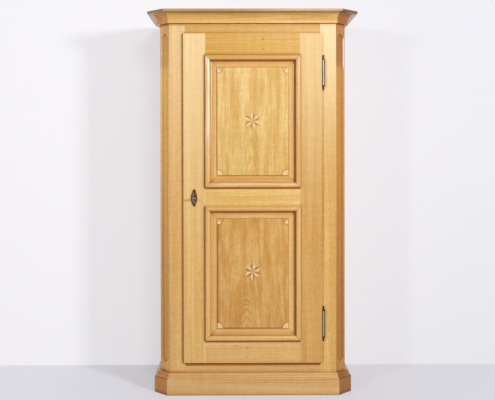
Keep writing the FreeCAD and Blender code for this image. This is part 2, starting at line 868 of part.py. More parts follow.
pin_spots = ["lock_level - escutcheon_height / 2 + escutcheon_pin_inset",
             "lock_level + escutcheon_height / 2 - escutcheon_pin_inset"]
pin_y = ("plate_front", "plate_front + escutcheon_pin_length")


def pin_bores(name):
    return [
        rod("%s%d" % (name, index), "escutcheon_pin / 2 + screw_clearance", "lock_x", pin_y, z)
        for index, z in enumerate(pin_spots)
    ]


left_bores = [keyhole("stile_keyhole")] + screw_bores("stile_pilot") + pin_bores("stile_pin_bore")
piece("door_stile_left", cut("door_stile_left", mirrored(stile), *left_bores))

rail_grooves = {
    "bottom": ["lower_panel_base - groove_depth"],
    "middle": ["lower_panel_top", "upper_panel_base - groove_depth"],
    "top": ["upper_panel_top"],
}
rail_rebates = {"bottom": rebate_base, "top": rebate_top}
for name, span in door_rails.items():
    label = "door_%s_rail" % name
    bar = block(label + "_bar", both("panel_half"), door_y, span)
    tenons = block(label + "_tenons", both("panel_half + door_tenon_length"), panel_y, door_tenons[name])
    cuts = [
        block("%s_groove%d" % (label, index), both("panel_half"), panel_y,
              (start, start + " + groove_depth"))
        for index, start in enumerate(rail_grooves[name])
    ]
    if name in rail_rebates:
        cuts.append(block(label + "_rebate", both("panel_half"), rebate_y, rail_rebates[name]))
    piece(label, fuse(label, cut(label + "_cut", bar, *cuts), tenons))

# Inlay of a panel: six pointed star and quarter fans, each in a light and a dark half

star_points = 6
waist_share = 0.5
waist_width_share = 0.26
facing = (right, up)


def star_halves(centre, side):
    # half of every point of the star, on its counter-clockwise side (1) or the other (-1)
    loops = []
    for index in range(star_points):
        angle = "(90 + %d)" % (index * 360 // star_points)
        tip = ("star_radius * cos(%s)" % angle, "%s + star_radius * sin(%s)" % (centre, angle))
        lean = "%d * star_radius * %s" % (side, waist_width_share)
        along = "star_radius * %s" % waist_share
        waist = (
            "%s * cos(%s) - %s * sin(%s)" % (along, angle, lean, angle),
            "%s + %s * sin(%s) + %s * cos(%s)" % (centre, along, angle, lean, angle),
        )
        loops.append([("0", centre), tip, waist])
    return loops


def star_plates(name, centre, side):
    plates = []
    for index, corners in enumerate(star_halves(centre, side)):
        plate = turn(padded("%s%d" % (name, index), [corners], "inlay_depth"), *facing)
        plates.append(place(plate, "0", "field_front + inlay_depth", "0"))
    return cut(name, group(name + "_halves", *plates), star_hub(name + "_hub", centre))


def star_hub(name, centre):
    return rod(name, "star_hub / 2", "0", ("field_front", "field_front + inlay_depth"), centre)


def fan_slice(name, radius, x, z, start, sweep):
    # a slice of a disc about the corner of the field, from the angle start
    disc = doc.addObject("Part::Cylinder", name)
    bind(disc, "Radius", radius)
    bind(disc, "Height", "inlay_depth")
    disc.Angle = sweep
    turn(disc, *facing)
    disc.Placement.Rotation = disc.Placement.Rotation * FreeCAD.Rotation(up, start)
    return place(disc, x, "field_front + inlay_depth", z)


field_half = "(panel_half - moulding_width - field_gap)"
fan_half = 45
fan_quarter = 90


def fans(label, base, top):
    # lower left, lower right, upper right and upper left corner, by the angle that each fan starts at
    spots = [("-" + field_half, base), (field_half, base), (field_half, top), ("-" + field_half, top)]
    light, dark = [], []
    for index, (x, z) in enumerate(spots):
        name = "%s_fan%d" % (label, index)
        start = index * fan_quarter
        first = fan_slice(name + "a", "fan_radius - fan_rim", x, z, start, fan_half)
        second = fan_slice(name + "b", "fan_radius - fan_rim", x, z, start + fan_half, fan_half)
        shaded = {2: first, 3: second}.get(index)
        for half in (first, second):
            (dark if half is shaded else light).append(half)
        rim = fan_slice(name + "rim", "fan_radius", x, z, start, fan_quarter)
        middle = fan_slice(name + "in", "fan_radius - fan_rim", x, z, start, fan_quarter)
        dark.append(cut(name + "arc", rim, middle))
    return light, dark


# Door panels, each with its raised field and its inlay

star_sides = {"upper": 1, "lower": -1}
for name in ("upper", "lower"):
    label = "door_%s_panel" % name
    base = "%s_panel_base" % name
    top = "%s_panel_top" % name
    board = block(label + "_board", panel_x, panel_y, grown((base, top), panel_bite))
    field_z = ("(%s + moulding_width + field_gap)" % base, "(%s - moulding_width - field_gap)" % top)
    field = block(label + "_field", both(field_half), ("field_front", "panel_front"), field_z)
    centre = "(%s + %s) / 2 + %s_star_rise" % (base, top, name)
    light_fans, dark_fans = fans(label, *field_z)
    side = star_sides[name]
    light = [star_plates(label + "_star_light", centre, side)] + light_fans
    dark = [star_plates(label + "_star_dark", centre, -side), star_hub(label + "_hub", centre)] + dark_fans
    blank = fuse(label + "_blank", board, field)
    once = cut(label + "_once", blank, group(label + "_light", *light))
    piece(label, cut(label, once, group(label + "_dark", *dark)))
    piece(name + "_inlay_light", group(name + "_inlay_light", *light))
    piece(name + "_inlay_dark", group(name + "_inlay_dark", *dark))

# Mouldings that lap over the edge of each panel opening; u runs inwards and w forwards

crest_end = "crest_width - moulding_lap"
hollow_start = "%s + quirk_width" % crest_end
quirk_level = "crest_wall - quirk_drop"
moulding_profile = [
    ("-moulding_lap", "0"),
    ("0", "0"),
    ("0", "-panel_setback"),
    ("moulding_width", "-panel_setback"),
    ("moulding_width", "-band_setback"),
    (hollow_start + " + hollow_width", "-band_setback", "hollow_radius", -1),
    (hollow_start, quirk_level),
    (crest_end, quirk_level),
    (crest_end, "crest_wall", "crest_radius", 1),
    ("-moulding_lap", "crest_wall"),
]
crest_reach = "(door_proud + crest_wall + crest_radius)"


def moulding_strip(name, inward, spot, plan):
    bar = padded(name + "_bar", [moulding_profile], "2 * carcass_width", middle=True)
    place(turn(bar, inward, -back), spot[0], "-door_proud", spot[1])
    prism = padded(name + "_plan", [plan], crest_reach + " + panel_front + cut_overrun")
    place(turn(prism, *facing), "0", "panel_front + cut_overrun", "0")
    return common(name, bar, prism)


for name in ("upper", "lower"):
    base = "%s_panel_base" % name
    top = "%s_panel_top" % name
    middle = "(%s + %s) / 2" % (base, top)
    lap = "(moulding_lap + cut_overrun)"
    inset = "(moulding_width + cut_overrun)"
    outer_x = both("(panel_half + %s)" % lap)
    outer_z = (base + " - " + lap, top + " + " + lap)
    inner_x = both("(panel_half - %s)" % inset)
    inner_z = (base + " + " + inset, top + " - " + inset)
    turns = ((0, 0), (1, 0), (1, 1), (0, 1))
    outer = [(outer_x[i], outer_z[j]) for i, j in turns]
    inner = [(inner_x[i], inner_z[j]) for i, j in turns]
    spots = [
        (up, "0", base),
        (-right, "panel_half", middle),
        (-up, "0", top),
        (right, "-panel_half", middle),
    ]
    strips = []
    for index, (inward, x, z) in enumerate(spots):
        after = (index + 1) % len(spots)
        plan = [outer[index], outer[after], inner[after], inner[index]]
        strips.append(moulding_strip("%s_strip%d" % (name, index), inward, (x, z), plan))
    piece(name + "_moulding_ends", group(name + "_moulding_ends", strips[0], strips[2]))
    piece(name + "_moulding_sides", group(name + "_moulding_sides", strips[1], strips[3]))

# Hinges: the frame half carries the pin, the door half lifts off it

hinge_end = "hinge_length / 2"
barrel_end = "hinge_barrel_length / 2"
collar_end = "(hinge_barrel_length / 2 + hinge_collar_height)"
ball_radius = "hinge_ball / 2"
ball_centre = "(hinge_length / 2 - hinge_ball / 2)"
ball_foot = "(%s - sqrt(hinge_ball ^ 2 - hinge_neck ^ 2) / 2)" % ball_centre
barrel_radius = "hinge_barrel / 2"
neck_radius = "hinge_neck / 2"
groove_radius = "(hinge_barrel + hinge_neck) / 4"
groove_top = "(hinge_barrel_length / 2 + hinge_collar_height / 2)"
finial = [
    (barrel_radius, barrel_end),
    (groove_radius, barrel_end),
    (groove_radius, groove_top),
    (barrel_radius, groove_top),
    (barrel_radius, collar_end),
    (neck_radius, collar_end + " + hinge_collar_height"),
    (neck_radius, ball_foot, ball_radius, 1),
    (ball_radius, ball_centre, ball_radius, 1),
    ("0", hinge_end),
]
pin_radius = "hinge_pin / 2"
bore_radius = "hinge_pin / 2 + hinge_pin_clearance"
bore_end = "hinge_pin_length + hinge_gap"
upper_knuckle = [(bore_radius, "hinge_gap / 2"), (barrel_radius, "hinge_gap / 2")] + finial + [
    ("0", bore_end),
    (bore_radius, bore_end),
]


def downward(corner):
    flip = (corner[0], "-(%s)" % corner[1])
    return flip if len(corner) == 2 else flip + (corner[2], -corner[3])


lower_knuckle = [downward(corner) for corner in finial]
lower_knuckle = [(barrel_radius, "-hinge_gap / 2")] + lower_knuckle + [
    ("0", "hinge_pin_length"),
    (pin_radius, "hinge_pin_length"),
    (pin_radius, "-hinge_gap / 2"),
]
frame_halves, door_halves = [], []
for name, level in hinge_levels.items():
    lower = turn(turned(name + "_lower_knuckle", lower_knuckle), right, up)
    place(lower, "hinge_x", "hinge_y", level)
    leaf = block(name + "_frame_leaf", frame_leaf_x, ("hinge_y", "hinge_leaf_depth"), frame_leaf_z(level))
    frame_halves.append(fuse(name + "_frame_half", lower, leaf))
    upper = turn(turned(name + "_upper_knuckle", upper_knuckle), right, up)
    place(upper, "hinge_x", "hinge_y", level)
    leaf_x = ("door_half - hinge_leaf_width", "hinge_x - hinge_barrel / 2 + hinge_leaf_root")
    leaf = block(name + "_door_leaf", leaf_x, door_leaf_y, door_leaf_z(level))
    door_halves.append(fuse(name + "_door_half", upper, leaf))
piece("hinge_frame_halves", group("hinge_frame_halves", *frame_halves))
piece("hinge_door_halves", group("hinge_door_halves", *door_halves))

# Lock case on the back of the left stile, with its bolt and screws

case_z = ("lock_level - lock_case_height / 2", "lock_level + lock_case_height / 2")
case = block("case_blank", ("case_left", "case_right"), ("door_back", "case_back"), case_z)
cavity = block("case_cavity", ("case_left + lock_case_wall", "case_right - lock_case_wall"),
               ("door_back - cut_overrun", "case_back - lock_case_wall"), grown(case_z, "-lock_case_wall"))
case_slot = block("case_slot", ("case_left - cut_overrun", "case_left + lock_case_wall + cut_overrun"),
                  bolt_slot_y, bolt_slot_z)
bore_y = ("door_back", "case_back + cut_overrun")
case_bore = rod("case_bore", keyhole_radius, "lock_x", bore_y, "lock_level")
piece("lock_case", cut("lock_case", case, cavity, case_slot, case_bore, *screw_bores("case_screw_bore")))
piece("lock_bolt", block("lock_bolt", ("case_left", "case_left + bolt_length"), ("bolt_front", "bolt_back"),
                         ("bolt_base", "bolt_top")))

domed_screw = [
    ("0", "-screw_length"),
    ("screw_shank / 2", "-screw_length"),
    ("screw_shank / 2", "0"),
    ("screw_head / 2", "0", "(screw_head ^ 2 / 4 + screw_head_height ^ 2) / (2 * screw_head_height)", 1),
    ("0", "screw_head_height"),
]
screws = []
for index, (x, z) in enumerate(screw_spots):
    screw = turn(turned("lock_screw%d" % index, domed_screw), right, back)
    screws.append(place(screw, x, "case_back", z))
piece("lock_screws", group("lock_screws", *screws))

# Escutcheon: a spindle with small lobed ends, held by two pins

plate_half = "escutcheon_height / 2"
plate_side = "escutcheon_width / 2"
belly_level_share = 0.2
waist_width_shares = (0.69, 0.79)
waist_level_share = 0.5
lobe_width_share = 0.44


def plate_edge(side, end):
    # belly, waist and lobe of one quarter of the plate; side 1 is right, end 1 is the top
    waist_share_here = waist_width_shares[0 if end > 0 else 1]
    lobe_radius = "%s * %s" % (plate_side, lobe_width_share)
    belly = ("%d * %s" % (side, plate_side), "%d * %s * %s" % (end, plate_half, belly_level_share))
    waist = ("%d * %s * %s" % (side, plate_side, waist_share_here),
             "%d * %s * %s" % (end, plate_half, waist_level_share))
    lobe = ("%d * %s" % (side, lobe_radius), "%d * (%s - %s)" % (end, plate_half, lobe_radius))
    return belly, waist, lobe, lobe_radius


plate_outline = []
for side, end in ((1, 1), (-1, 1), (-1, -1), (1, -1)):
    belly, waist, lobe, lobe_radius = plate_edge(side, end)
    if side == end:
        tip = ("0", "%d * %s" % (end, plate_half))
        plate_outline += [belly + (plate_half, 1), waist, lobe + (lobe_radius, 1), tip + (lobe_radius, 1)]
    else:
        plate_outline += [lobe, waist + (plate_half, 1), belly]
plate = padded("escutcheon_blank", [plate_outline], "escutcheon_thickness")
place(turn(plate, *facing), "lock_x", "-door_proud", "lock_level")
piece("escutcheon", cut("escutcheon", plate, keyhole("plate_keyhole"), *pin_bores("plate_pin_bore")))

pin_shape = [
    ("0", "-escutcheon_pin_length"),
    ("escutcheon_pin / 2", "-escutcheon_pin_length"),
    ("escutcheon_pin / 2", "0"),
    ("escutcheon_pin", "0", "escutcheon_pin", 1),
    ("0", "escutcheon_pin"),
]
pins = []
for index, z in enumerate(pin_spots):
    pin = turn(turned("escutcheon_pin%d" % index, pin_shape), -right, -back)
    pins.append(place(pin, "lock_x", "plate_front", z))
piece("escutcheon_pins", group("escutcheon_pins", *pins))

# Key, a quarter turn from upright, with its bit level inside the lock case

bow_radius = "key_bow / 2"
key_end = "case_back - key_end_gap"
shaft_y = ("bow_centre + key_bow / 2 - key_bow_band / 2", key_end)
shaft = rod("key_shaft_rod", "key_shaft / 2", "lock_x", shaft_y, "lock_level")
collar_y = ("plate_front - key_collar_gap - key_collar_height", "plate_front - key_collar_gap")
collar = rod("key_collar_ring", "key_collar / 2", "lock_x", collar_y, "lock_level")
bit_back = "case_back - lock_case_wall - key_end_gap"
bit_y = (bit_back + " - key_bit_width", bit_back)
bit = block("key_bit", ("lock_x", "lock_x + key_bit_reach"), bit_y,
            ("lock_level - key_bit_thickness / 2", "lock_level + key_bit_thickness / 2"))


def bow_disc(name, radius, grow):
    disc = doc.addObject("Part::Cylinder", name)
    bind(disc, "Radius", radius)
    bind(disc, "Height", "key_bow_thickness + 2 * (%s)" % grow)
    return place(disc, "lock_x", "bow_centre", "lock_level - key_bow_thickness / 2 - (%s)" % grow)


bow = cut("key_bow_ring", bow_disc("bow_outer", bow_radius, "0"),
          bow_disc("bow_inner", bow_radius + " - key_bow_band", "cut_overrun"))
piece("key", fuse("key", shaft, collar, bit, bow))

doc.recompute()

faults = [item.Name for item in doc.Objects if "Invalid" in item.State or "Error" in item.State]
faults += [item.Label for item in pieces if item.Shape.isNull() or not item.Shape.isValid()]
if faults:
    raise RuntimeError("not built: " + ", ".join(faults))

os.makedirs("parts", exist_ok=True)
for item in pieces:
    item.Shape.exportStep("parts/%s.step" % item.Label)
print(len(pieces), "pieces written")
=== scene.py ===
from math import radians
from types import SimpleNamespace

import bpy
from mathutils import Euler, Matrix, Vector


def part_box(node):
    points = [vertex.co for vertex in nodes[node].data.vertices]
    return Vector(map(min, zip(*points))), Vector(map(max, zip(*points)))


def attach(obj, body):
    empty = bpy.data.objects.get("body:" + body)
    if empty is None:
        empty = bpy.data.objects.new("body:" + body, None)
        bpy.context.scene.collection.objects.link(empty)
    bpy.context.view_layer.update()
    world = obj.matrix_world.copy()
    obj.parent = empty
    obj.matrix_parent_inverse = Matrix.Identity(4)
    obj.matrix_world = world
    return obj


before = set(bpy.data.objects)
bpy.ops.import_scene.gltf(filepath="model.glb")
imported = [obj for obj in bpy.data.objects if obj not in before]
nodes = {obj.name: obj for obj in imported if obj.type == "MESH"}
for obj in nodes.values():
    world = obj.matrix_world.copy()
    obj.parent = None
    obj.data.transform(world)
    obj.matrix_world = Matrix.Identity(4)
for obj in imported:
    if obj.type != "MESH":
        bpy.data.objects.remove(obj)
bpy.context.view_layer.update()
scene = bpy.context.scene
scene.view_settings.view_transform = "Standard"
print("frame loaded:", len(nodes), "nodes")


# colours are written as on a screen, 0 to 255, and turned into light values
def screen(red, green, blue):
    def light(value):
        share = value / 255
        return share / 12.92 if share <= 0.04045 else ((share + 0.055) / 1.055) ** 2.4
    return light(red), light(green), light(blue), 1.0


# small helpers for node trees: a value is a socket or a plain number, colour or vector
def put(tree, kind, **settings):
    node = tree.nodes.new(kind)
    for name, value in settings.items():
        setattr(node, name, value)
    return node


def feed(tree, socket, value):
    if isinstance(value, bpy.types.NodeSocket):
        tree.links.new(value, socket)
    else:
        socket.default_value = value


def calc(tree, operation, first, second=0.0):
    node = put(tree, "ShaderNodeMath", operation=operation)
    feed(tree, node.inputs[0], first)
    feed(tree, node.inputs[1], second)
    return node.outputs[0]


def times(tree, first, *others):
    for other in others:
        first = calc(tree, "MULTIPLY", first, other)
    return first


def allBut(tree, share):
    return calc(tree, "SUBTRACT", 1.0, share)


def larger(tree, first, second):
    return calc(tree, "MAXIMUM", first, second)


def vectorCalc(tree, operation, first, second=(0, 0, 0)):
    node = put(tree, "ShaderNodeVectorMath", operation=operation)
    feed(tree, node.inputs[0], first)
    feed(tree, node.inputs[1], second)
    return node.outputs["Value" if operation in ("LENGTH", "DOT_PRODUCT") else "Vector"]


def scaleBy(tree, vector, factor):
    node = put(tree, "ShaderNodeVectorMath", operation="SCALE")
    feed(tree, node.inputs[0], vector)
    feed(tree, node.inputs["Scale"], factor)
    return node.outputs[0]


def blend(tree, factor, first, second, mode="MIX"):
    node = put(tree, "ShaderNodeMix", data_type="RGBA", blend_type=mode)
    feed(tree, node.inputs["Factor"], factor)
    feed(tree, node.inputs["A"], first)
    feed(tree, node.inputs["B"], second)
    return node.outputs["Result"]


def tinted(tree, share, color, tint):
    return blend(tree, share, color, tint, "MULTIPLY")


def ramp(tree, source, low, high, bottom=0.0, top=1.0):
    node = put(tree, "ShaderNodeMapRange", interpolation_type="SMOOTHSTEP")
    for name, value in (("Value", source), ("From Min", low), ("From Max", high),
                        ("To Min", bottom), ("To Max", top)):
        feed(tree, node.inputs[name], value)
    return node.outputs["Result"]


# one inside a stretch and nothing on both sides of it
def between(tree, source, rise, fall):
    return times(tree, ramp(tree, source, *rise), ramp(tree, source, *fall))


def noise(tree, vector, scale, detail=2.0, rough=0.5, output="Fac"):
    node = put(tree, "ShaderNodeTexNoise")
    node.inputs["Scale"].default_value = 1.0
    node.inputs["Detail"].default_value = detail
    node.inputs["Roughness"].default_value = rough
    feed(tree, node.inputs["Vector"], vectorCalc(tree, "MULTIPLY", vector, scale))
    return node.outputs[output]


# noise as a small step to any side
def drift(tree, vector, scale, detail=2.0):
    return vectorCalc(tree, "SUBTRACT", noise(tree, vector, scale, detail, output="Color"), (0.5, 0.5, 0.5))


def noiseAlong(tree, value):
    node = put(tree, "ShaderNodeTexNoise", noise_dimensions="1D")
    node.inputs["Scale"].default_value = 1.0
    node.inputs["Detail"].default_value = 1.0
    feed(tree, node.inputs["W"], value)
    return node.outputs["Fac"]


# splits a place into its three distances
def apart(tree, place):
    node = put(tree, "ShaderNodeSeparateXYZ")
    tree.links.new(place, node.inputs[0])
    return node.outputs["X"], node.outputs["Y"], node.outputs["Z"]


def newMaterial(name):
    material = bpy.data.materials.new(name)
    material.use_nodes = True
    return material, material.node_tree, material.node_tree.nodes["Principled BSDF"]


# how the grain of a sawn board is drawn: scales count to the metre, two across the grain and one along it,
# and a range holds where a change begins and ends, with its two amounts where they aren't 0 and 1
grainShape = dict(
    slowSway=dict(scale=(3.1, 3.1, 1.3), detail=1.0),
    quickSway=dict(scale=(17, 17, 4.5)),
    quickShare=(0.14, 0.14, 0), swayGain=2.4,
    yearPace=0.31, yearSpread=2.6, lateStart=(0.25, 0.86), lateEnd=(1.0, 0.9),
    vigourPace=0.23, vigourRange=(0.32, 0.68, 0.25, 1.0),
    fibre=dict(scale=(170, 170, 2.6), detail=4.0, rough=0.65), fibreRange=(0.38, 0.66),
    pore=dict(scale=(900, 900, 26), detail=1.0), poreRange=(0.6, 0.72), poreShare=0.7,
    streak=dict(scale=(34, 34, 0.6), detail=3.0, rough=0.6), streakRange=(0.34, 0.68),
    curl=dict(scale=(9, 9, 46)), curlRange=(0.3, 0.7, 0.975, 1.025),
    fleck=dict(scale=(130, 130, 75), detail=3.0, rough=0.6), fleckRange=(0.3, 0.7, -1.0, 1.0),
    fibreRelief=0.5, poreRelief=0.6, lateRelief=0.15, fibrePolish=0.12, porePolish=0.1,
)
# inputs of the grain: numbers, each with its key in boardLooks, and colours as shares of a board's tone
grainNumbers = {"Ring Gap": "ringGap", "Ring Strength": "rings", "Wander": "wander", "Streaks": "streaks",
                "Fibres": "fibres", "Flecks": "flecks"}
toneShares = {"Light": (1.07, 1.13, 1.28), "Deep": (0.85, 0.71, 0.49), "Late": (0.61, 0.42, 0.24)}


# sawn board: growth rings about a pith line, fibres and pores along it, slow changes of tone
def buildBoardGrain():
    shape = grainShape
    group = bpy.data.node_groups.new("boardGrain", "ShaderNodeTree")
    sockets = [("Vector", "INPUT", "NodeSocketVector")]
    sockets += [(name, "INPUT", "NodeSocketFloat") for name in grainNumbers]
    sockets += [(name, "INPUT", "NodeSocketColor") for name in toneShares]
    sockets += [("Color", "OUTPUT", "NodeSocketColor"), ("Relief", "OUTPUT", "NodeSocketFloat"),
                ("Polish", "OUTPUT", "NodeSocketFloat")]
    for name, side, kind in sockets:
        group.interface.new_socket(name=name, in_out=side, socket_type=kind)
    source = group.nodes.new("NodeGroupInput").outputs
    target = group.nodes.new("NodeGroupOutput").inputs
    place = source["Vector"]

    # the pith line wanders slowly, and a little faster on a small scale
    quick = vectorCalc(group, "MULTIPLY", drift(group, place, **shape["quickSway"]), shape["quickShare"])
    sway = vectorCalc(group, "ADD", drift(group, place, **shape["slowSway"]), quick)
    sway = scaleBy(group, sway, times(group, source["Wander"], shape["swayGain"]))
    bent = vectorCalc(group, "ADD", place, sway)
    radius = vectorCalc(group, "LENGTH", vectorCalc(group, "MULTIPLY", bent, (1, 1, 0)))

    # wide and narrow years, and a darker late band that ends sharply
    years = calc(group, "DIVIDE", radius, source["Ring Gap"])
    uneven = noiseAlong(group, times(group, years, shape["yearPace"]))
    years = calc(group, "ADD", years, times(group, uneven, shape["yearSpread"]))
    late = between(group, calc(group, "FRACT", years), shape["lateStart"], shape["lateEnd"])
    vigour = ramp(group, noiseAlong(group, times(group, years, shape["vigourPace"])), *shape["vigourRange"])
    late = times(group, late, vigour)

    # fibres and pores run with the grain; the streaks are broad bands of deeper colour
    fibre = noise(group, place, **shape["fibre"])
    pore = ramp(group, noise(group, place, **shape["pore"]), *shape["poreRange"])
    streak = ramp(group, noise(group, bent, **shape["streak"]), *shape["streakRange"])
    color = blend(group, times(group, streak, source["Streaks"]), source["Light"], source["Deep"])
    color = blend(group, times(group, late, source["Ring Strength"]), color, source["Late"])
    fibreShare = times(group, ramp(group, fibre, *shape["fibreRange"]), source["Fibres"])
    color = blend(group, fibreShare, color, source["Deep"])
    poreShare = times(group, pore, times(group, source["Fibres"], shape["poreShare"]))
    color = blend(group, poreShare, color, source["Late"])

    # a faint curl across the grain, and short flecks where rays of the wood are cut
    color = scaleBy(group, color, ramp(group, noise(group, place, **shape["curl"]), *shape["curlRange"]))
    fleck = ramp(group, noise(group, place, **shape["fleck"]), *shape["fleckRange"])
    color = scaleBy(group, color, calc(group, "ADD", times(group, fleck, source["Flecks"]), 1.0))
    feed(group, target["Color"], color)
    relief = calc(group, "SUBTRACT", times(group, fibre, shape["fibreRelief"]),
                  times(group, pore, shape["poreRelief"]))
    feed(group, target["Relief"], calc(group, "SUBTRACT", relief, times(group, late, shape["lateRelief"])))
    polish = calc(group, "ADD", times(group, fibre, shape["fibrePolish"]),
                  times(group, pore, shape["porePolish"]))
    feed(group, target["Polish"], polish)
    return group


boardGrain = buildBoardGrain()

# grain and finish of each kind of board; crease is how strongly painted shade, with some old polish,
# darkens its corners, reach how far a corner is felt, and corner the open and shut ends of that darkening
boardLooks = {
    "post": dict(
        ringGap=0.0042, rings=0.38, wander=0.010, streaks=0.70, fibres=0.42, flecks=0.085,
        gloss=0.42, sheen=0.30, brushed=0.8, lacquer=0.30, crease=0.75, reach=0.018, corner=(0.92, 0.70)),
    "stile": dict(
        ringGap=0.0042, rings=0.38, wander=0.010, streaks=0.70, fibres=0.42, flecks=0.055,
        gloss=0.42, sheen=0.30, brushed=0.8, lacquer=0.30, crease=1.0, reach=0.018, corner=(0.88, 0.66)),
    "rail": dict(
        ringGap=0.0045, rings=0.34, wander=0.014, streaks=0.58, fibres=0.40, flecks=0.045,
        gloss=0.42, sheen=0.20, brushed=0.8, lacquer=0.25, crease=1.0, reach=0.018, corner=(0.88, 0.66)),
    "panel": dict(
        ringGap=0.0052, rings=0.60, wander=0.020, streaks=1.0, fibres=0.48, flecks=0.06,
        gloss=0.42, sheen=0.25, brushed=0.8, lacquer=0.30, crease=0.9, reach=0.018, corner=(0.90, 0.55)),
    "moulding": dict(
        ringGap=0.0040, rings=0.38, wander=0.012, streaks=0.60, fibres=0.36, flecks=0.04,
        gloss=0.32, sheen=0.28, brushed=0.2, lacquer=0.25, crease=1.0, reach=0.024, corner=(0.85, 0.66)),
    "inner": dict(
        ringGap=0.0055, rings=0.42, wander=0.020, streaks=0.55, fibres=0.36, flecks=0.04,
        gloss=0.58, sheen=0.30, brushed=0.3, lacquer=0.0, crease=0.8, reach=0.018, corner=(0.90, 0.55)),
    "inlay": dict(
        ringGap=0.0022, rings=0.28, wander=0.004, streaks=0.40, fibres=0.30, flecks=0.03,
        gloss=0.40, sheen=0.30, brushed=0.5, lacquer=0.30, crease=0.6, reach=0.018, corner=(0.90, 0.55)),
}
paintedSheenTone = screen(250, 232, 184)       # painted sheen: the upper ends of the uprights are made paler towards this
paintedReflectionTone = screen(244, 220, 194)       # painted reflection along the outer edges of the canted corners, high up
paintedCrestHighlight = screen(253, 236, 206)     # painted highlight on the crests of the upper moulding
knotTone = screen(120, 70, 34)
shadeAndPolishTone = (0.50, 0.26, 0.03, 1.0)  # painted shade in the corners, with some old polish gathered there, as a share of the colour
edgeWearAndHighlight = (1.10, 1.12, 1.15, 1.0)    # edges rubbed a little paler, which also paints a highlight on them
scorchTone = (0.42, 0.27, 0.12, 1.0)  # fine lines round the fans and along the mitres
paintedWallShade = (0.68, 0.55, 0.40, 1.0)    # painted shade on the walls of the sunk panels in the canted corners

# turns that bring the grain of a board onto the local Z axis, and the way it runs
grainTurns = {"x": (0, radians(-90), 0), "y": (radians(90), 0, 0), "z": (0, 0, 0)}
grainAxes = {"x": (1, 0, 0), "y": (0, 1, 0), "z": (0, 0, 1)}


# where a point of a board lies, in the room and along the board's own grain
def boardSpot(tree, name, board):
    low, high = (Vector(corner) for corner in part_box(name))
    lean = board.get("lean", (0, 0))
    turn = Euler((radians(lean[0]), radians(lean[1]), 0)).to_matrix()
    turn = turn @ Euler(grainTurns[board["grain"]]).to_matrix()
    place = put(tree, "ShaderNodeTexCoord").outputs["Object"]
    mapping = put(tree, "ShaderNodeMapping", vector_type="POINT")
    mapping.inputs["Rotation"].default_value = turn.to_euler()
    pith = Vector((*board["pith"], board["along"]))
    mapping.inputs["Location"].default_value = pith - turn @ ((low + high) / 2)
    tree.links.new(place, mapping.inputs["Vector"])
    x, y, z = apart(tree, place)
    return SimpleNamespace(tree=tree, place=place, grain=mapping.outputs["Vector"], x=x, y=y, z=z,
                           outward=calc(tree, "ABSOLUTE", x), low=low, high=high)


def boardWood(spot, board, look):
    wood = put(spot.tree, "ShaderNodeGroup", node_tree=boardGrain)
    feed(spot.tree, wood.inputs["Vector"], spot.grain)
    for socket, key in grainNumbers.items():
        wood.inputs[socket].default_value = look[key]
    if "gap" in board:
        wood.inputs["Ring Gap"].default_value = board["gap"]
    for socket, shares in toneShares.items():
        shade = [tone * share for tone, share in zip(board["tone"], shares)]
        wood.inputs[socket].default_value = shade + [1.0]
    if "figure" in board:
        figure = board["figure"]
        rings = ramp(spot.tree, spot.z, figure["high"], figure["low"], figure["faint"], figure["strong"])
        feed(spot.tree, wood.inputs["Ring Strength"], rings)
    return wood


# one on the front of a piece, nothing deeper than a given depth behind it
frontSoft = 0.001


def onFront(spot, front, depth):
    return ramp(spot.tree, spot.y, front + depth, front + depth - frontSoft)


# quarter fans: a fine scorched line at the radius of their arcs about the corners of the field
fanShape = dict(radius=0.0300, line=(0.0026, 0.0, 0.0, 0.75), eased=(0.001, 0.0, 0.0, 0.7), depth=0.004)


def fanColor(spot, color, board):
    tree = spot.tree
    low, high = (Vector(corner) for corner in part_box(board["fans"]))
    middle = (low + high) / 2
    reach = vectorCalc(tree, "ABSOLUTE", vectorCalc(tree, "SUBTRACT", spot.place, middle))
    reach = vectorCalc(tree, "MULTIPLY", vectorCalc(tree, "SUBTRACT", reach, high - middle), (1, 0, 1))
    away = calc(tree, "SUBTRACT", vectorCalc(tree, "LENGTH", reach), fanShape["radius"])
    if "fanTone" in board:
        color = blend(tree, ramp(tree, away, *fanShape["eased"]), color, board["fanTone"])
    line = ramp(tree, calc(tree, "ABSOLUTE", away), *fanShape["line"])
    return tinted(tree, times(tree, line, onFront(spot, low.y, fanShape["depth"])), color, scorchTone)


# canted corners, measured in from the outer edge of the post and back from the face of the cant
cantShape = dict(
    width=0.051, overlap=0.0005, soft=0.002, sunk=(0.002, 0.006),
    wallStart=(0.0004, 0.0012), wallEnd=(0.0082, 0.0074), wallEase=(-0.002, 0.002, 1.0, 0.35),
    lowDown=(1.65, 0.30), stain=(1.70, 1.75), stainNoise=dict(scale=(40, 40, 9)), stainWaver=0.12,
    reflectionStart=(0.012, 0.009), reflectionEnd=(0.0015, 0.0035), reflectionTop=(1.83, 1.80, 0.0, 0.7),
)


def cantEdges(spot):
    edge = max(abs(spot.low.x), abs(spot.high.x))
    return edge, edge - cantShape["width"] - cantShape["overlap"]


# painted sheen: the front of an upright is paler towards its upper end
def paintedSheenColor(spot, color, board):
    fade = board["fade"]
    share = ramp(spot.tree, spot.z, fade["low"], fade["high"], 0.0, fade["share"])
    if "cant" in board:
        start = cantEdges(spot)[1]
        share = times(spot.tree, share, ramp(spot.tree, spot.outward, start + cantShape["soft"], start))
    return blend(spot.tree, share, color, fade.get("tone", paintedSheenTone))


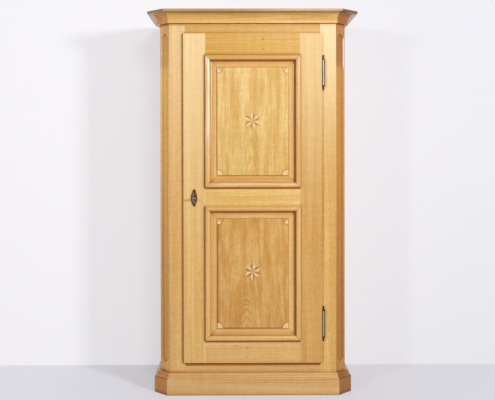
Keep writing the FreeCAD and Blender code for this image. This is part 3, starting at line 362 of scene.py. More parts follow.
def cantColor(spot, color, cant):
    tree = spot.tree
    shape = cantShape
    edge, start = cantEdges(spot)
    # each cant's tint is partly its wood's tone and partly painted light: the left cant is made much lighter
    # and the right one darker
    onCant = ramp(tree, spot.outward, start, start + shape["soft"])
    color = tinted(tree, onCant, color, cant["tint"])

    # the sunk panel and its walls get painted shade; the wall beyond the middle catches more light, so it
    # gets less of it
    face = edge - shape["width"] - spot.low.y
    sunkBy = calc(tree, "SUBTRACT", face, calc(tree, "SUBTRACT", spot.outward, spot.y))
    color = tinted(tree, times(tree, ramp(tree, sunkBy, *shape["sunk"]), onCant), color, cant["sunk"])
    beyond = calc(tree, "SUBTRACT", spot.outward, (start + edge) / 2)
    wall = between(tree, sunkBy, shape["wallStart"], shape["wallEnd"])
    wall = times(tree, wall, ramp(tree, beyond, *shape["wallEase"]), onCant)
    color = tinted(tree, wall, color, paintedWallShade)
    lowDown = times(tree, onCant, ramp(tree, spot.z, *shape["lowDown"]))
    color = tinted(tree, lowDown, color, cant["footTint"])

    # a darker stretch high up that starts unevenly, and beside it a pale painted reflection along the outer
    # edge
    waver = times(tree, noise(tree, spot.place, **shape["stainNoise"]), shape["stainWaver"])
    stain = ramp(tree, calc(tree, "ADD", spot.z, waver), *shape["stain"])
    color = tinted(tree, times(tree, stain, onCant), color, cant["stainTint"])
    paintedReflection = between(tree, calc(tree, "SUBTRACT", edge, spot.outward), shape["reflectionStart"], shape["reflectionEnd"])
    paintedReflection = times(tree, paintedReflection, stain, ramp(tree, spot.z, *shape["reflectionTop"]))
    return blend(tree, paintedReflection, color, paintedReflectionTone)


# painted light on the top member of the cornice, measured down from its upper face: painted shade on its
# fascia and a painted highlight on its top edge
capShape = dict(start=(0.0125, 0.0105), top=(0.001, 0.0002))


def capLightAndShade(spot, color, cap):
    down = calc(spot.tree, "SUBTRACT", spot.high.z, spot.z)
    color = tinted(spot.tree, ramp(spot.tree, down, *capShape["start"]), color, cap["tint"])
    return tinted(spot.tree, ramp(spot.tree, down, *capShape["top"]), color, cap["top"])


# mouldings round the panels, measured in from their outline; lit is on the top and right strips
mouldingShape = dict(
    mitre=(0.0034, 0.0008, 0.0, 0.4), lit=(-0.01, 0.01), outside=(0.006, 0.0025, 0.0, 0.85),
    rim=dict(x=(0.014, 0.002, 0.0, 0.05), z=(0.014, 0.002, 0.0, 0.3)),
    hollowStart=(0.020, 0.026), hollowEnd=(0.037, 0.032, 0.0, 0.75),
    crest=(0.034, 0.026), crestNoise=dict(scale=(60, 60, 6)), crestPatch=(0.34, 0.62, 0.25, 1.0),
    creaseFrom=(0.010, 0.016), innerEase=(0.045, 0.050, 0.0, 0.7),
)


def mouldingSpot(spot, grain):
    tree = spot.tree
    half = (spot.high - spot.low) / 2
    rise = calc(tree, "SUBTRACT", spot.z, (spot.high.z + spot.low.z) / 2)
    fromSide = calc(tree, "SUBTRACT", half.x, spot.outward)
    fromEnd = calc(tree, "SUBTRACT", half.z, calc(tree, "ABSOLUTE", rise))
    spot.inset = calc(tree, "MINIMUM", fromSide, fromEnd)
    spot.fromMitre = calc(tree, "ABSOLUTE", calc(tree, "SUBTRACT", fromSide, fromEnd))
    spot.lit = ramp(tree, spot.x if grain == "z" else rise, *mouldingShape["lit"])


def mouldingColor(spot, color, board):
    tree = spot.tree
    shape = mouldingShape
    mouldingSpot(spot, board["grain"])
    color = tinted(tree, ramp(tree, spot.fromMitre, *shape["mitre"]), color, scorchTone)

    # painted shadow lies beside the crest: inside it on the top and right strips, outside it on the others
    unlit = allBut(tree, spot.lit)
    outside = times(tree, ramp(tree, spot.inset, *shape["outside"]), unlit)
    rim = times(tree, ramp(tree, spot.inset, *shape["rim"][board["grain"]]), spot.lit)
    hollow = times(tree, between(tree, spot.inset, shape["hollowStart"], shape["hollowEnd"]), spot.lit)
    dark = larger(tree, larger(tree, outside, rim), hollow)
    # a painted highlight in patches on the crests of the unlit strips
    if "crest" in board:
        crest = board["crest"]
        pale = times(tree, ramp(tree, spot.z, crest["low"], crest["high"]),
                     ramp(tree, spot.inset, *shape["crest"], 0.0, crest["share"]))
        patch = ramp(tree, noise(tree, spot.grain, **shape["crestNoise"]), *shape["crestPatch"])
        color = blend(tree, times(tree, pale, patch, unlit), color, paintedCrestHighlight)
    return tinted(tree, dark, color, shadeAndPolishTone)


def mouldingCrease(spot, crease):
    tree = spot.tree
    crease = times(tree, crease, ramp(tree, spot.inset, *mouldingShape["creaseFrom"]))
    inner = times(tree, spot.lit, ramp(tree, spot.inset, *mouldingShape["innerEase"]))
    return times(tree, crease, allBut(tree, inner))


# a knot is its place across, its height and its size
knotFade = (1.0, 0.35, 0.0, 0.6)


def knotColor(spot, color, knots):
    tree = spot.tree
    for across, level, size in knots:
        reach = vectorCalc(tree, "SUBTRACT", spot.place, (across, 0, level))
        reach = vectorCalc(tree, "MULTIPLY", reach, (1 / size, 0, 1 / size))
        color = blend(tree, ramp(tree, vectorCalc(tree, "LENGTH", reach), *knotFade), color, knotTone)
    return color


# painted shadow lines round the field of a door panel, measured in from the field's edges
fieldShape = dict(faint=(0.014, 0.007, 0.0, 0.7), left=(0.012, 0.006), bottom=(0.008, 0.003))


def fieldCrease(spot, crease, board):
    tree = spot.tree
    low, high = (Vector(corner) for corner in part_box(board["fans"]))
    # the painted shade is faint at the top and right, and a painted shadow is drawn on the front at the left
    # and bottom
    faint = larger(tree, ramp(tree, calc(tree, "SUBTRACT", high.x, spot.x), *fieldShape["faint"]),
                   ramp(tree, calc(tree, "SUBTRACT", high.z, spot.z), *fieldShape["faint"]))
    crease = times(tree, crease, allBut(tree, faint))
    fromLeft = calc(tree, "SUBTRACT", spot.x, low.x)
    fromBottom = calc(tree, "SUBTRACT", spot.z, low.z)
    drawn = larger(tree, ramp(tree, fromLeft, *fieldShape["left"], 0.0, board["fieldLine"]),
                   ramp(tree, fromBottom, *fieldShape["bottom"], 0.0, board["fieldLine"]))
    return larger(tree, crease, times(tree, drawn, onFront(spot, low.y, fanShape["depth"])))


# the painted shadow on a front just below the edge of the piece above, the painted shade at the foot of the
# plinth and the painted highlight on its bead
underShape = dict(fade=0.0045, above=(-0.002, 0.0), depth=0.003)
footRange = (0.008, 0.003)
beadSoft = 0.0006


def underCrease(spot, crease, under):
    tree = spot.tree
    down = calc(tree, "SUBTRACT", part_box(under["piece"])[0][2], spot.z)
    below = between(tree, down, (under["depth"] + underShape["fade"], under["depth"]), underShape["above"])
    return larger(tree, crease, times(tree, below, onFront(spot, spot.low.y, underShape["depth"])))


def onBead(spot, bead):
    return between(spot.tree, spot.z, (bead["low"] - beadSoft, bead["low"] + beadSoft),
                   (bead["high"] + beadSoft, bead["high"] - beadSoft))


# edges are rounded and rubbed paler, as wear and a painted highlight, the fibres stand a little proud and
# their sheen lies across the grain
edgeShape = dict(radius=0.0016, turned=(0.995, 0.85), open=(0.8, 1.0), samples=4)
woodFinish = dict(polishMiddle=0.06, lacquerRough=0.2, bump=0.2, bumpHeight=0.0004,
                  waver=dict(scale=(9, 9, 3)), waverShare=0.16, sheenTurn=0.25)


def finishWood(spot, shader, wood, color, felt, board, look):
    tree = spot.tree
    finish = woodFinish
    rounded = put(tree, "ShaderNodeBevel", samples=edgeShape["samples"])
    rounded.inputs["Radius"].default_value = edgeShape["radius"]
    flat = put(tree, "ShaderNodeNewGeometry").outputs["Normal"]
    turned = vectorCalc(tree, "DOT_PRODUCT", rounded.outputs["Normal"], flat)
    rubbed = times(tree, ramp(tree, turned, *edgeShape["turned"]), ramp(tree, felt, *edgeShape["open"]))
    feed(tree, shader.inputs["Base Color"], tinted(tree, rubbed, color, edgeWearAndHighlight))
    rough = calc(tree, "ADD", wood.outputs["Polish"], look["gloss"] - finish["polishMiddle"])
    feed(tree, shader.inputs["Roughness"], rough)
    bump = put(tree, "ShaderNodeBump")
    bump.inputs["Strength"].default_value = finish["bump"]
    bump.inputs["Distance"].default_value = finish["bumpHeight"]
    feed(tree, bump.inputs["Height"], wood.outputs["Relief"])
    feed(tree, bump.inputs["Normal"], rounded.outputs["Normal"])
    feed(tree, shader.inputs["Normal"], bump.outputs["Normal"])
    waver = scaleBy(tree, drift(tree, spot.grain, **finish["waver"]), finish["waverShare"])
    feed(tree, shader.inputs["Tangent"], vectorCalc(tree, "ADD", waver, grainAxes[board["grain"]]))
    for socket, value in (("Anisotropic", look["brushed"]), ("Anisotropic Rotation", finish["sheenTurn"]),
                          ("Specular IOR Level", look["sheen"]), ("Coat Weight", look["lacquer"]),
                          ("Coat Roughness", finish["lacquerRough"])):
        shader.inputs[socket].default_value = value


def boardMaterial(name, board):
    material, tree, shader = newMaterial(name)
    look = boardLooks[board["look"]]
    spot = boardSpot(tree, name, board)
    wood = boardWood(spot, board, look)
    color = wood.outputs["Color"]
    if "fans" in board:
        color = fanColor(spot, color, board)
    if "fade" in board:
        color = paintedSheenColor(spot, color, board)
    if "cant" in board:
        color = cantColor(spot, color, board["cant"])
    if "cap" in board:
        color = capLightAndShade(spot, color, board["cap"])
    if "mitred" in board:
        color = mouldingColor(spot, color, board)
    color = knotColor(spot, color, board.get("knots", ()))

    # corners are darkened by painted shade with some old polish, more or less of it in places
    corner = put(tree, "ShaderNodeAmbientOcclusion", samples=edgeShape["samples"], only_local=False)
    corner.inputs["Distance"].default_value = look["reach"]
    felt = corner.outputs["AO"]
    crease = ramp(tree, felt, *look["corner"], 0.0, board.get("crease", look["crease"]))
    if "mitred" in board:
        crease = mouldingCrease(spot, crease)
    if "fieldLine" in board:
        crease = fieldCrease(spot, crease, board)
    # the plinth's bead gets a painted highlight in place of painted shade
    if "bead" in board:
        paintedBeadHighlight = onBead(spot, board["bead"])
        color = tinted(tree, paintedBeadHighlight, color, board["bead"]["tint"])
        crease = times(tree, crease, allBut(tree, paintedBeadHighlight))
    # painted shade at the foot of the plinth, where it meets the floor
    if "foot" in board:
        crease = larger(tree, crease, ramp(tree, spot.z, *footRange, 0.0, board["foot"]))
    # painted shadow just below the edge of the piece above
    if "under" in board:
        crease = underCrease(spot, crease, board["under"])
    color = tinted(tree, crease, color, shadeAndPolishTone)
    finishWood(spot, shader, wood, color, felt, board, look)
    return material


# every wooden piece: its look, the way its grain runs, where its pith lies from its middle and leans to,
# in degrees, where along the log it was cut, its tone, and its further marks: knots, figure and fans of the
# wood, and painted light and shade
boards = {
    "corner_post_left": dict(
        look="post", grain="z", pith=(0.16, -0.09), lean=(0.3, 0.2), along=1.3, tone=screen(222, 177, 108),
        fade=dict(low=0.7, high=1.95, share=0.26),
        cant=dict(tint=(1.67, 1.86, 1.99, 1), sunk=(0.94, 0.87, 0.75, 1), stainTint=(0.84, 0.74, 0.68, 1),
                  footTint=(0.74, 0.64, 0.58, 1))),
    "corner_post_right": dict(
        look="post", grain="z", pith=(-0.15, -0.08), lean=(-0.2, 0.3), along=4.1, tone=screen(220, 177, 106),
        crease=0.3, fade=dict(low=0.9, high=1.9, share=0.5),
        cant=dict(tint=(0.86, 0.745, 0.52, 1), sunk=(0.86, 0.76, 0.62, 1), stainTint=(0.70, 0.57, 0.43, 1),
                  footTint=(0.79, 0.73, 0.73, 1))),
    "rear_post_left": dict(look="post", grain="z", pith=(0.11, 0.10), along=6.7, tone=screen(212, 164, 100)),
    "rear_post_right": dict(look="post", grain="z", pith=(-0.12, 0.09), along=8.2, tone=screen(212, 162, 98)),
    "front_top_rail": dict(
        look="rail", grain="x", pith=(0.10, -0.12), lean=(0.5, 0.4), along=2.2, tone=screen(213, 171, 96),
        crease=0.45),
    "front_bottom_rail": dict(
        look="rail", grain="x", pith=(0.08, -0.10), lean=(-0.4, 0.5), along=5.3, tone=screen(215, 174, 117),
        crease=0.5, under=dict(piece="door_stile_left", depth=0.014)),
    "side_top_rail_left": dict(
        look="rail", grain="y", pith=(0.09, 0.10), along=1.9, tone=screen(216, 168, 100)),
    "side_top_rail_right": dict(
        look="rail", grain="y", pith=(-0.09, 0.11), along=3.8, tone=screen(216, 168, 100)),
    "side_middle_rail_left": dict(
        look="rail", grain="y", pith=(0.10, 0.08), along=7.4, tone=screen(214, 166, 98)),
    "side_middle_rail_right": dict(
        look="rail", grain="y", pith=(-0.08, 0.10), along=9.1, tone=screen(214, 166, 98)),
    "side_bottom_rail_left": dict(
        look="rail", grain="y", pith=(0.07, 0.12), along=11.5, tone=screen(208, 160, 98)),
    "side_bottom_rail_right": dict(
        look="rail", grain="y", pith=(-0.10, 0.09), along=12.3, tone=screen(208, 160, 98)),
    "side_upper_panel_left": dict(
        look="panel", grain="z", pith=(-0.08, 0.02), lean=(1.2, 2.4), along=3.3, tone=screen(218, 172, 104)),
    "side_upper_panel_right": dict(
        look="panel", grain="z", pith=(0.08, -0.03), lean=(-1, -2.6), along=5.9, tone=screen(218, 172, 104)),
    "side_lower_panel_left": dict(
        look="panel", grain="z", pith=(-0.07, -0.03), lean=(1.0, 3.1), along=8.8, tone=screen(206, 156, 92)),
    "side_lower_panel_right": dict(
        look="panel", grain="z", pith=(0.07, 0.04), lean=(0.9, -3.0), along=10.6, tone=screen(206, 156, 92)),
    "back_boards": dict(
        look="inner", grain="z", pith=(0.05, -0.11), lean=(0.5, 0.6), along=2.7, tone=screen(208, 174, 126)),
    "back_rails": dict(look="inner", grain="x", pith=(0.10, -0.09), along=4.4, tone=screen(206, 170, 122)),
    "floor_board": dict(
        look="inner", grain="x", pith=(-0.09, 0.06), lean=(0.6, 0.5), along=6.1, tone=screen(208, 172, 124)),
    "ceiling_board": dict(
        look="inner", grain="x", pith=(0.10, -0.05), lean=(0.5, -0.6), along=7.9, tone=screen(208, 172, 124)),
    "shelf_1": dict(
        look="inner", grain="x", pith=(0.08, 0.05), lean=(0.7, 0.4), along=9.7, tone=screen(210, 174, 126)),
    "shelf_2": dict(
        look="inner", grain="x", pith=(-0.1, 0.08), lean=(-0.6, 0.5), along=11.2, tone=screen(208, 172, 122)),
    "shelf_3": dict(
        look="inner", grain="x", pith=(0.09, -0.07), lean=(0.4, 0.7), along=13.6, tone=screen(211, 176, 128)),
    "shelf_cleats": dict(look="inner", grain="y", pith=(0.10, 0.06), along=15.1, tone=screen(204, 168, 118)),
    "cornice_front": dict(
        look="moulding", grain="x", pith=(0.06, -0.11), lean=(0.9, 0.8), along=3.9,
        tone=screen(220, 179, 105), cap=dict(tint=(0.74, 0.76, 0.94, 1), top=(1.2, 1.15, 0.95, 1))),
    # the left cants of the cornice are much paler than the right ones: partly their wood, partly painted
    # light and shade
    "cornice_cant_left": dict(
        look="moulding", grain="x", pith=(0.09, -0.08), along=6.6, tone=screen(234, 167, 90),
        cap=dict(tint=(0.55, 0.62, 0.72, 1), top=(1.35, 1.5, 1.4, 1))),
    "cornice_cant_right": dict(
        look="moulding", grain="x", pith=(0.08, -0.09), along=8.5, tone=screen(163, 102, 31),
        cap=dict(tint=(0.55, 0.7, 0.95, 1), top=(3.2, 4.3, 6.5, 1))),
    "cornice_side_left": dict(
        look="moulding", grain="y", pith=(0.09, 0.10), along=10.3, tone=screen(214, 166, 102)),
    "cornice_side_right": dict(
        look="moulding", grain="y", pith=(-0.10, 0.08), along=12.9, tone=screen(214, 166, 102)),
    "cornice_lid": dict(
        look="inner", grain="x", pith=(0.09, 0.07), lean=(0.4, 0.3), along=14.2, tone=screen(206, 172, 124)),
    "cornice_back_rail": dict(
        look="inner", grain="x", pith=(0.08, 0.09), along=16.0, tone=screen(206, 170, 122)),
    "plinth_front": dict(
        look="moulding", grain="x", pith=(0.05, -0.09), lean=(0.7, -0.6), along=1.1,
        tone=screen(217, 176, 116), crease=0.35, foot=0.7,
        bead=dict(low=0.0798, high=0.0856, tint=(1.14, 1.19, 1.32, 1)),
        knots=((0.0667, 0.0673, 0.005), (0.0347, 0.0065, 0.004))),
    # as on the cornice, the plinth's left cant is much paler than its right: partly the wood, partly painted
    # light and shade
    "plinth_cant_left": dict(
        look="moulding", grain="x", pith=(0.09, -0.08), along=3.5, tone=screen(218, 152, 71)),
    "plinth_cant_right": dict(
        look="moulding", grain="x", pith=(0.08, -0.10), along=5.0, tone=screen(154, 101, 33)),
    "plinth_side_left": dict(
        look="moulding", grain="y", pith=(0.07, 0.10), along=7.2, tone=screen(202, 154, 98)),
    "plinth_side_right": dict(
        look="moulding", grain="y", pith=(-0.08, 0.09), along=9.4, tone=screen(202, 154, 98)),
    "door_stile_left": dict(
        look="stile", grain="z", pith=(0.19, -0.07), lean=(0.2, 0.2), along=2.4, tone=screen(228, 186, 116),
        fade=dict(low=0.4, high=1.75, share=0.38)),
    "door_stile_right": dict(
        look="stile", grain="z", pith=(-0.20, -0.06), lean=(0.2, -0.25), along=4.9, tone=screen(209, 162, 92),
        crease=0.6, fade=dict(low=0.7, high=1.75, share=0.36, tone=screen(247, 225, 166))),
    "door_top_rail": dict(
        look="rail", grain="x", pith=(0.08, -0.14), lean=(0.4, 0.5), along=6.9, tone=screen(213, 167, 86),
        knots=((0.053, 1.8027, 0.006), (0.0529, 1.7541, 0.005))),
    "door_middle_rail": dict(
        look="rail", grain="x", pith=(0.12, -0.12), lean=(0.3, -0.4), along=8.7, tone=screen(227, 187, 112),
        crease=0.5, under=dict(piece="upper_moulding_ends", depth=0.004)),
    "door_bottom_rail": dict(
        look="rail", grain="x", pith=(0.10, -0.13), lean=(-0.4, 0.3), along=10.9, tone=screen(223, 181, 116),
        under=dict(piece="lower_moulding_ends", depth=0.005),
        knots=((-0.0886, 0.2456, 0.005), (-0.0281, 0.2362, 0.005), (-0.0308, 0.1867, 0.005))),
    "door_upper_panel": dict(
        look="panel", grain="z", pith=(0.00, -0.09), lean=(4.5, 0.3), along=1.7, tone=screen(226, 190, 119),
        figure=dict(low=1.26, high=1.42, strong=0.55, faint=0.12), fans="upper_inlay_light", fieldLine=0.0),
    "door_lower_panel": dict(
        look="panel", grain="z", pith=(0.029, -0.081), lean=(8.0, 0.4), along=6.3, tone=screen(213, 168, 98),
        gap=0.0036, figure=dict(low=0.46, high=0.68, strong=0.8, faint=0.12), fans="lower_inlay_light",
        fieldLine=0.5),
    "upper_moulding_ends": dict(
        look="moulding", grain="x", pith=(0.12, -0.10), along=2.9, tone=screen(220, 174, 98),
        mitred=True, crest=dict(low=1.0, high=1.02, share=0.3)),
    "upper_moulding_sides": dict(
        look="moulding", grain="z", pith=(0.10, -0.11), along=5.6, tone=screen(224, 180, 112),
        mitred=True, crest=dict(low=1.06, high=1.34, share=0.55)),
    "lower_moulding_ends": dict(
        look="moulding", grain="x", pith=(0.10, -0.12), along=8.1, tone=screen(223, 179, 108), mitred=True),
    "lower_moulding_sides": dict(
        look="moulding", grain="z", pith=(0.11, -0.09), along=11.8, tone=screen(228, 186, 118), mitred=True),
    "upper_inlay_light": dict(
        look="inlay", grain="z", pith=(0.05, -0.05), lean=(4, 6), along=1.2, tone=screen(238, 203, 148),
        fans="upper_inlay_light"),
    "upper_inlay_dark": dict(
        look="inlay", grain="z", pith=(0.04, -0.06), lean=(5, -4), along=2.6, tone=screen(188, 145, 76),
        fans="upper_inlay_light", fanTone=screen(222, 178, 110)),
    "lower_inlay_light": dict(
        look="inlay", grain="z", pith=(0.05, -0.04), lean=(-4, 5), along=3.7, tone=screen(236, 200, 145),
        fans="lower_inlay_light"),
    "lower_inlay_dark": dict(
        look="inlay", grain="z", pith=(0.06, -0.05), lean=(4, 4), along=4.8, tone=screen(172, 127, 66),
        fans="lower_inlay_light", fanTone=screen(206, 160, 94)),
}


def dress(name, material):
    slots = nodes[name].material_slots
    for slot in slots:
        slot.material = material
    if not slots:
        nodes[name].data.materials.append(material)


for name, board in boards.items():
    dress(name, boardMaterial(name, board))
print("wood dressed:", len(boards), "pieces")


# old metal: a dark skin that is rubbed through in places
metalLooks = {
    "hinge": dict(skin=screen(56, 39, 27), rubbed=screen(104, 80, 54), cover=0.3,
                  shine=0.2, mirror=0.2, rough=0.42, coat=0.1, bump=0.08),
    "escutcheon": dict(skin=screen(92, 70, 46), rubbed=screen(214, 192, 168), cover=0.8,
                       shine=0.8, mirror=0.5, rough=0.36, coat=0.3, bump=0.3),
    "iron": dict(skin=screen(52, 48, 45), rubbed=screen(112, 106, 100), cover=0.35,
                 shine=1.0, mirror=0.5, rough=0.46, coat=0.0, bump=0.3),
}
metalShape = dict(
    cloud=dict(scale=(130, 130, 70), detail=5.0, rough=0.62), wornRange=(0.42, 0.66), plateRange=(0.85, 0.4),
    speck=dict(scale=(900, 900, 900)), speckRange=(0.62, 0.75, 0.0, 0.5), speckTone=screen(30, 24, 18),
    cloudRough=0.22, speckRough=0.06, roughMiddle=0.1, coatRough=0.16, bumpHeight=0.0003, speckHeight=0.4,
)
# each hinge's length over its finials, and the painted highlight along the middle of its barrel
barrelShape = dict(length=0.178, half=(0.066, 0.062), facing=(0.12, 0.02, 0.0, 0.8),
                   tone=screen(226, 204, 172))


# a painted highlight: the round of each hinge barrel is pale cream along its middle, where it faces the view
def barrelHighlight(tree, place, color):
    height = apart(tree, place)[2]
    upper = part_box("hinge_door_halves")[1][2] - barrelShape["length"] / 2
    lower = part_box("hinge_frame_halves")[0][2] + barrelShape["length"] / 2
    toUpper = calc(tree, "ABSOLUTE", calc(tree, "SUBTRACT", height, upper))
    toLower = calc(tree, "ABSOLUTE", calc(tree, "SUBTRACT", height, lower))
    onBarrel = ramp(tree, calc(tree, "MINIMUM", toUpper, toLower), *barrelShape["half"])
    aside = put(tree, "ShaderNodeLayerWeight").outputs["Facing"]
    paintedGlint = times(tree, onBarrel, ramp(tree, aside, *barrelShape["facing"]))
    return blend(tree, paintedGlint, color, barrelShape["tone"])


def metalMaterial(name, look, plate=None, barrels=False):
    values = metalLooks[look]
    shape = metalShape
    material, tree, shader = newMaterial(name)
    place = put(tree, "ShaderNodeTexCoord").outputs["Object"]
    cloud = noise(tree, place, **shape["cloud"])
    speck = noise(tree, place, **shape["speck"])
    worn = times(tree, ramp(tree, cloud, *shape["wornRange"]), values["cover"])
    if plate:
        # a plate is paler at its middle and darker at its rim: wear, and partly a painted highlight
        low, high = (Vector(corner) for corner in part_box(plate))
        half = (high - low) / 2
        reach = vectorCalc(tree, "SUBTRACT", place, (low + high) / 2)
        reach = vectorCalc(tree, "MULTIPLY", reach, (1 / half.x, 0, 1 / half.z))
        worn = times(tree, worn, ramp(tree, vectorCalc(tree, "LENGTH", reach), *shape["plateRange"]))
    color = blend(tree, worn, values["skin"], values["rubbed"])
    color = blend(tree, ramp(tree, speck, *shape["speckRange"]), color, shape["speckTone"])
    if barrels:
        color = barrelHighlight(tree, place, color)
    feed(tree, shader.inputs["Base Color"], color)
    rough = calc(tree, "ADD", times(tree, cloud, shape["cloudRough"]), values["rough"] - shape["roughMiddle"])
    feed(tree, shader.inputs["Roughness"], calc(tree, "ADD", rough, times(tree, speck, shape["speckRough"])))
    for socket, value in (("Specular IOR Level", values["mirror"]), ("Metallic", values["shine"]),
                          ("Coat Weight", values["coat"]), ("Coat Roughness", shape["coatRough"])):
        shader.inputs[socket].default_value = value
    bump = put(tree, "ShaderNodeBump")
    bump.inputs["Strength"].default_value = values["bump"]
    bump.inputs["Distance"].default_value = shape["bumpHeight"]
    feed(tree, bump.inputs["Height"], calc(tree, "ADD", cloud, times(tree, speck, shape["speckHeight"])))
    feed(tree, shader.inputs["Normal"], bump.outputs["Normal"])
    return material


hingeBronze = metalMaterial("hingeBronze", "hinge", barrels=True)
plateBronze = metalMaterial("plateBronze", "escutcheon", "escutcheon")
lockIron = metalMaterial("lockIron", "iron")
for name in ("hinge_frame_halves", "hinge_door_halves"):
    dress(name, hingeBronze)
for name in ("escutcheon", "escutcheon_pins", "key"):
    dress(name, plateBronze)
for name in ("lock_case", "lock_screws", "strike_plate", "lock_bolt"):
    dress(name, lockIron)
print("metal dressed")


# the back boards are nailed to each rail, two nails to a board
backNails = dict(
    boards=7, perBoard=0.072, railHeight=0.090, middleRail=1.003, sink=0.0002, strayBy=0.003, seed=11,
    head=0.0034, rise=0.0014, taper=0.62, headSides=14, headRings=3, topRings=2, fullTurn=6.283,
    dents=dict(scale=(420, 420, 420)), dentShare=0.5,
)


def nailRows(tree, source):
    rows = put(tree, "GeometryNodeJoinGeometry")
    step = put(tree, "ShaderNodeCombineXYZ")
    feed(tree, step.inputs["X"], source["Board Pitch"])
    for rail in ("Low Rail", "Middle Rail", "Top Rail"):
        for side in (-0.5, 0.5):
            start = put(tree, "ShaderNodeCombineXYZ")
            away = times(tree, source["Nail Spacing"], side)
            feed(tree, start.inputs["X"], calc(tree, "ADD", source["First Board"], away))
            feed(tree, start.inputs["Y"], source["Back Face"])
            feed(tree, start.inputs["Z"], source[rail])
            row = put(tree, "GeometryNodeMeshLine", mode="OFFSET")
            feed(tree, row.inputs["Count"], source["Boards"])
            feed(tree, row.inputs["Start Location"], start.outputs[0])
            feed(tree, row.inputs["Offset"], step.outputs[0])
            feed(tree, rows.inputs["Geometry"], row.outputs["Mesh"])

    # no nail was driven quite on the line
    stray = put(tree, "FunctionNodeRandomValue", data_type="FLOAT_VECTOR")
    reach = put(tree, "ShaderNodeCombineXYZ")
    feed(tree, reach.inputs["X"], source["Stray"])
    feed(tree, reach.inputs["Z"], source["Stray"])
    feed(tree, stray.inputs["Max"], reach.outputs[0])
    feed(tree, stray.inputs["Min"], vectorCalc(tree, "MULTIPLY", reach.outputs[0], (-1, -1, -1)))
    feed(tree, stray.inputs["Seed"], source["Seed"])
    moved = put(tree, "GeometryNodeSetPosition")
    feed(tree, moved.inputs["Geometry"], rows.outputs[0])
    feed(tree, moved.inputs["Offset"], stray.outputs["Value"])
    return moved.outputs["Geometry"]


# a hammered head: a low cone with a flat top, its rim and top beaten uneven
def nailHead(tree, source):
    head = put(tree, "GeometryNodeMeshCone")
    head.inputs["Vertices"].default_value = backNails["headSides"]
    head.inputs["Side Segments"].default_value = backNails["headRings"]
    head.inputs["Fill Segments"].default_value = backNails["topRings"]
    feed(tree, head.inputs["Radius Bottom"], source["Head Radius"])
    feed(tree, head.inputs["Radius Top"], times(tree, source["Head Radius"], backNails["taper"]))
    feed(tree, head.inputs["Depth"], source["Head Rise"])
    dents = drift(tree, put(tree, "GeometryNodeInputPosition").outputs[0], **backNails["dents"])
    beaten = put(tree, "GeometryNodeSetPosition")
    feed(tree, beaten.inputs["Geometry"], head.outputs["Mesh"])
    depth = times(tree, source["Head Radius"], backNails["dentShare"])
    feed(tree, beaten.inputs["Offset"], scaleBy(tree, dents, depth))
    return beaten.outputs["Geometry"]


def nailTree(material):
    tree = bpy.data.node_groups.new("nailRows", "GeometryNodeTree")
    tree.interface.new_socket(name="Geometry", in_out="OUTPUT", socket_type="NodeSocketGeometry")
    counts = ("Boards", "Seed")
    lengths = ("First Board", "Board Pitch", "Nail Spacing", "Back Face", "Low Rail", "Middle Rail",
               "Top Rail", "Head Radius", "Head Rise", "Stray")
    for kind, names in (("NodeSocketInt", counts), ("NodeSocketFloat", lengths)):
        for name in names:
            tree.interface.new_socket(name=name, in_out="INPUT", socket_type=kind)
    source = put(tree, "NodeGroupInput").outputs
    turnHead = put(tree, "FunctionNodeRandomValue", data_type="FLOAT")
    turnHead.inputs[3].default_value = backNails["fullTurn"]      # the upper end of a plain number
    feed(tree, turnHead.inputs["Seed"], source["Seed"])
    facing = put(tree, "ShaderNodeCombineXYZ")
    facing.inputs["X"].default_value = -radians(90)
    feed(tree, facing.inputs["Y"], turnHead.outputs[1])
    nails = put(tree, "GeometryNodeInstanceOnPoints")
    feed(tree, nails.inputs["Points"], nailRows(tree, source))
    feed(tree, nails.inputs["Instance"], nailHead(tree, source))
    feed(tree, nails.inputs["Rotation"], facing.outputs[0])
    whole = put(tree, "GeometryNodeRealizeInstances")
    feed(tree, whole.inputs["Geometry"], nails.outputs["Instances"])
    finish = put(tree, "GeometryNodeSetMaterial")
    finish.inputs["Material"].default_value = material
    feed(tree, finish.inputs["Geometry"], whole.outputs["Geometry"])
    feed(tree, put(tree, "NodeGroupOutput").inputs["Geometry"], finish.outputs["Geometry"])
    return tree


def makeBackNails():
    low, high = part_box("back_boards")
    lowRail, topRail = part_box("back_rails")
    pitch = (high[0] - low[0]) / backNails["boards"]
    sizes = {
        "Boards": backNails["boards"], "First Board": low[0] + pitch / 2, "Board Pitch": pitch,
        "Nail Spacing": backNails["perBoard"], "Back Face": high[1] - backNails["sink"],
        "Low Rail": lowRail[2] + backNails["railHeight"] / 2, "Middle Rail": backNails["middleRail"],
        "Top Rail": topRail[2] - backNails["railHeight"] / 2, "Head Radius": backNails["head"],
        "Head Rise": backNails["rise"], "Stray": backNails["strayBy"], "Seed": backNails["seed"],
    }
    nails = bpy.data.objects.new("back_nails", bpy.data.meshes.new("back_nails"))
    scene.collection.objects.link(nails)
    maker = nails.modifiers.new("nailRows", "NODES")
    maker.node_group = nailTree(metalMaterial("nailIron", "iron"))
    for item in maker.node_group.interface.items_tree:
        if item.in_out == "INPUT":
            maker[item.identifier] = sizes[item.name]
    made = nails.evaluated_get(bpy.context.evaluated_depsgraph_get())
    nails.data = bpy.data.meshes.new_from_object(made)
    nails.modifiers.remove(maker)
    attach(nails, "carcass")
    print("back nails:", len(nails.data.polygons), "faces")


makeBackNails()

# studio: pale floor and wall; the camera sees part of their own paleness, so shadows on them stay light
studio = dict(wallAt=0.330, floorDepth=9.0, width=24.0, height=6.0)
# near is each sheet's colour at the left and far at the right: the sheets are painted paler towards the left,
# as painted light
sheetLooks = {
    "floor": dict(near=screen(237, 237, 246), far=screen(216, 216, 224), bounce=screen(150, 146, 142),
                  rough=0.6, glow=0.38),
    "wall": dict(near=screen(250, 249, 252), far=screen(230, 230, 236), bounce=screen(250, 249, 252),
                 rough=0.8, glow=0.6),
}
sheetShape = dict(cloud=dict(scale=(1.4, 1.4, 1.4), detail=3.0), cloudShift=0.3, across=(-1.2, 1.9),
                  mirror=0.1)


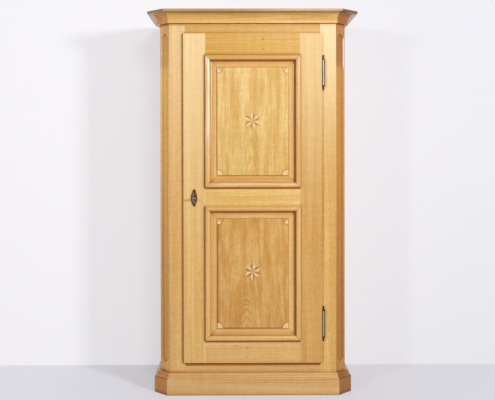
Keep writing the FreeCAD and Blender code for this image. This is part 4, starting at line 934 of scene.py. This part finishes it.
def plainMaterial(name, look):
    material, tree, shader = newMaterial(name)
    place = put(tree, "ShaderNodeTexCoord").outputs["Object"]
    cloud = times(tree, noise(tree, place, **sheetShape["cloud"]), sheetShape["cloudShift"])
    across = calc(tree, "ADD", apart(tree, place)[0], cloud)
    surface = blend(tree, ramp(tree, across, *sheetShape["across"]), look["near"], look["far"])
    path = put(tree, "ShaderNodeLightPath").outputs
    seen = larger(tree, path["Is Camera Ray"], path["Is Glossy Ray"])
    feed(tree, shader.inputs["Base Color"], blend(tree, seen, look["bounce"], surface))
    shader.inputs["Roughness"].default_value = look["rough"]
    shader.inputs["Specular IOR Level"].default_value = sheetShape["mirror"]
    pale = put(tree, "ShaderNodeEmission")
    feed(tree, pale.inputs["Color"], surface)
    share = larger(tree, times(tree, path["Is Camera Ray"], look["glow"]), path["Is Glossy Ray"])
    front = put(tree, "ShaderNodeMixShader")
    # seen from behind, the sheet is clear
    sides = put(tree, "ShaderNodeMixShader")
    behind = put(tree, "ShaderNodeNewGeometry").outputs["Backfacing"]
    clear = put(tree, "ShaderNodeBsdfTransparent")
    for mix, factor, first, second in ((front, share, shader, pale), (sides, behind, front, clear)):
        feed(tree, mix.inputs[0], factor)
        feed(tree, mix.inputs[1], first.outputs[0])
        feed(tree, mix.inputs[2], second.outputs[0])
    feed(tree, tree.nodes["Material Output"].inputs["Surface"], sides.outputs[0])
    return material


def makeSheet(name, corners, material):
    mesh = bpy.data.meshes.new(name)
    mesh.from_pydata(corners, [], [tuple(range(len(corners)))])
    mesh.materials.append(material)
    sheet = bpy.data.objects.new(name, mesh)
    scene.collection.objects.link(sheet)


halfWidth = studio["width"] / 2
wallAt = studio["wallAt"]
frontAt = wallAt - studio["floorDepth"]
floorCorners = [(-halfWidth, frontAt, 0), (halfWidth, frontAt, 0), (halfWidth, wallAt, 0),
                (-halfWidth, wallAt, 0)]
wallCorners = [(-halfWidth, wallAt, 0), (halfWidth, wallAt, 0), (halfWidth, wallAt, studio["height"]),
               (-halfWidth, wallAt, studio["height"])]
makeSheet("floor", floorCorners, plainMaterial("paleFloor", sheetLooks["floor"]))
makeSheet("wall", wallCorners, plainMaterial("paleWall", sheetLooks["wall"]))

lamps = {
    "rightLamp": dict(at=(3.5, -3.9, 2.4), aim=(0, 0, 1.0), size=(0.6, 0.6), power=184),
    "topLamp": dict(at=(0.8, -5.0, 3.4), aim=(0, 0, 1.0), size=(1.0, 1.0), power=85),
    "leftLamp": dict(at=(-3.4, -4.3, 2.4), aim=(0, 0, 1.0), size=(0.5, 0.5), power=80),
}
air = dict(color=(0.95, 0.97, 1.0, 1.0), strength=0.09)


def aimed(at, aim):
    return (Vector(aim) - Vector(at)).to_track_quat("-Z", "Y").to_matrix().to_4x4()


for name, lamp in lamps.items():
    light = bpy.data.lights.new(name, "AREA")
    light.shape = "RECTANGLE"
    light.size, light.size_y = lamp["size"]
    light.energy = lamp["power"]
    holder = bpy.data.objects.new(name, light)
    holder.matrix_world = Matrix.Translation(lamp["at"]) @ aimed(lamp["at"], lamp["aim"])
    scene.collection.objects.link(holder)

world = bpy.data.worlds.new("studioAir")
world.use_nodes = True
world.node_tree.nodes["Background"].inputs["Color"].default_value = air["color"]
world.node_tree.nodes["Background"].inputs["Strength"].default_value = air["strength"]
scene.world = world
print("studio set")


# camera of the photograph: its focal length, the rise of its lens and its width are in pixels
view = dict(at=(-0.0524, -4.1468, 1.2575), yaw=-0.376, pitch=-0.517, roll=-0.093,
            focal=776.9, rise=46.0, width=495)
camera = bpy.data.cameras.new("photoView")
camera.sensor_fit = "HORIZONTAL"
camera.lens = view["focal"] * camera.sensor_width / view["width"]
camera.shift_y = -view["rise"] / view["width"]
eye = bpy.data.objects.new("photoView", camera)
turn = Euler((radians(90 + view["pitch"]), 0, radians(view["yaw"]))).to_matrix()
turn = turn @ Matrix.Rotation(radians(view["roll"]), 3, "Z")
eye.matrix_world = Matrix.Translation(view["at"]) @ turn.to_4x4()
scene.collection.objects.link(eye)
scene.camera = eye
print("camera set")
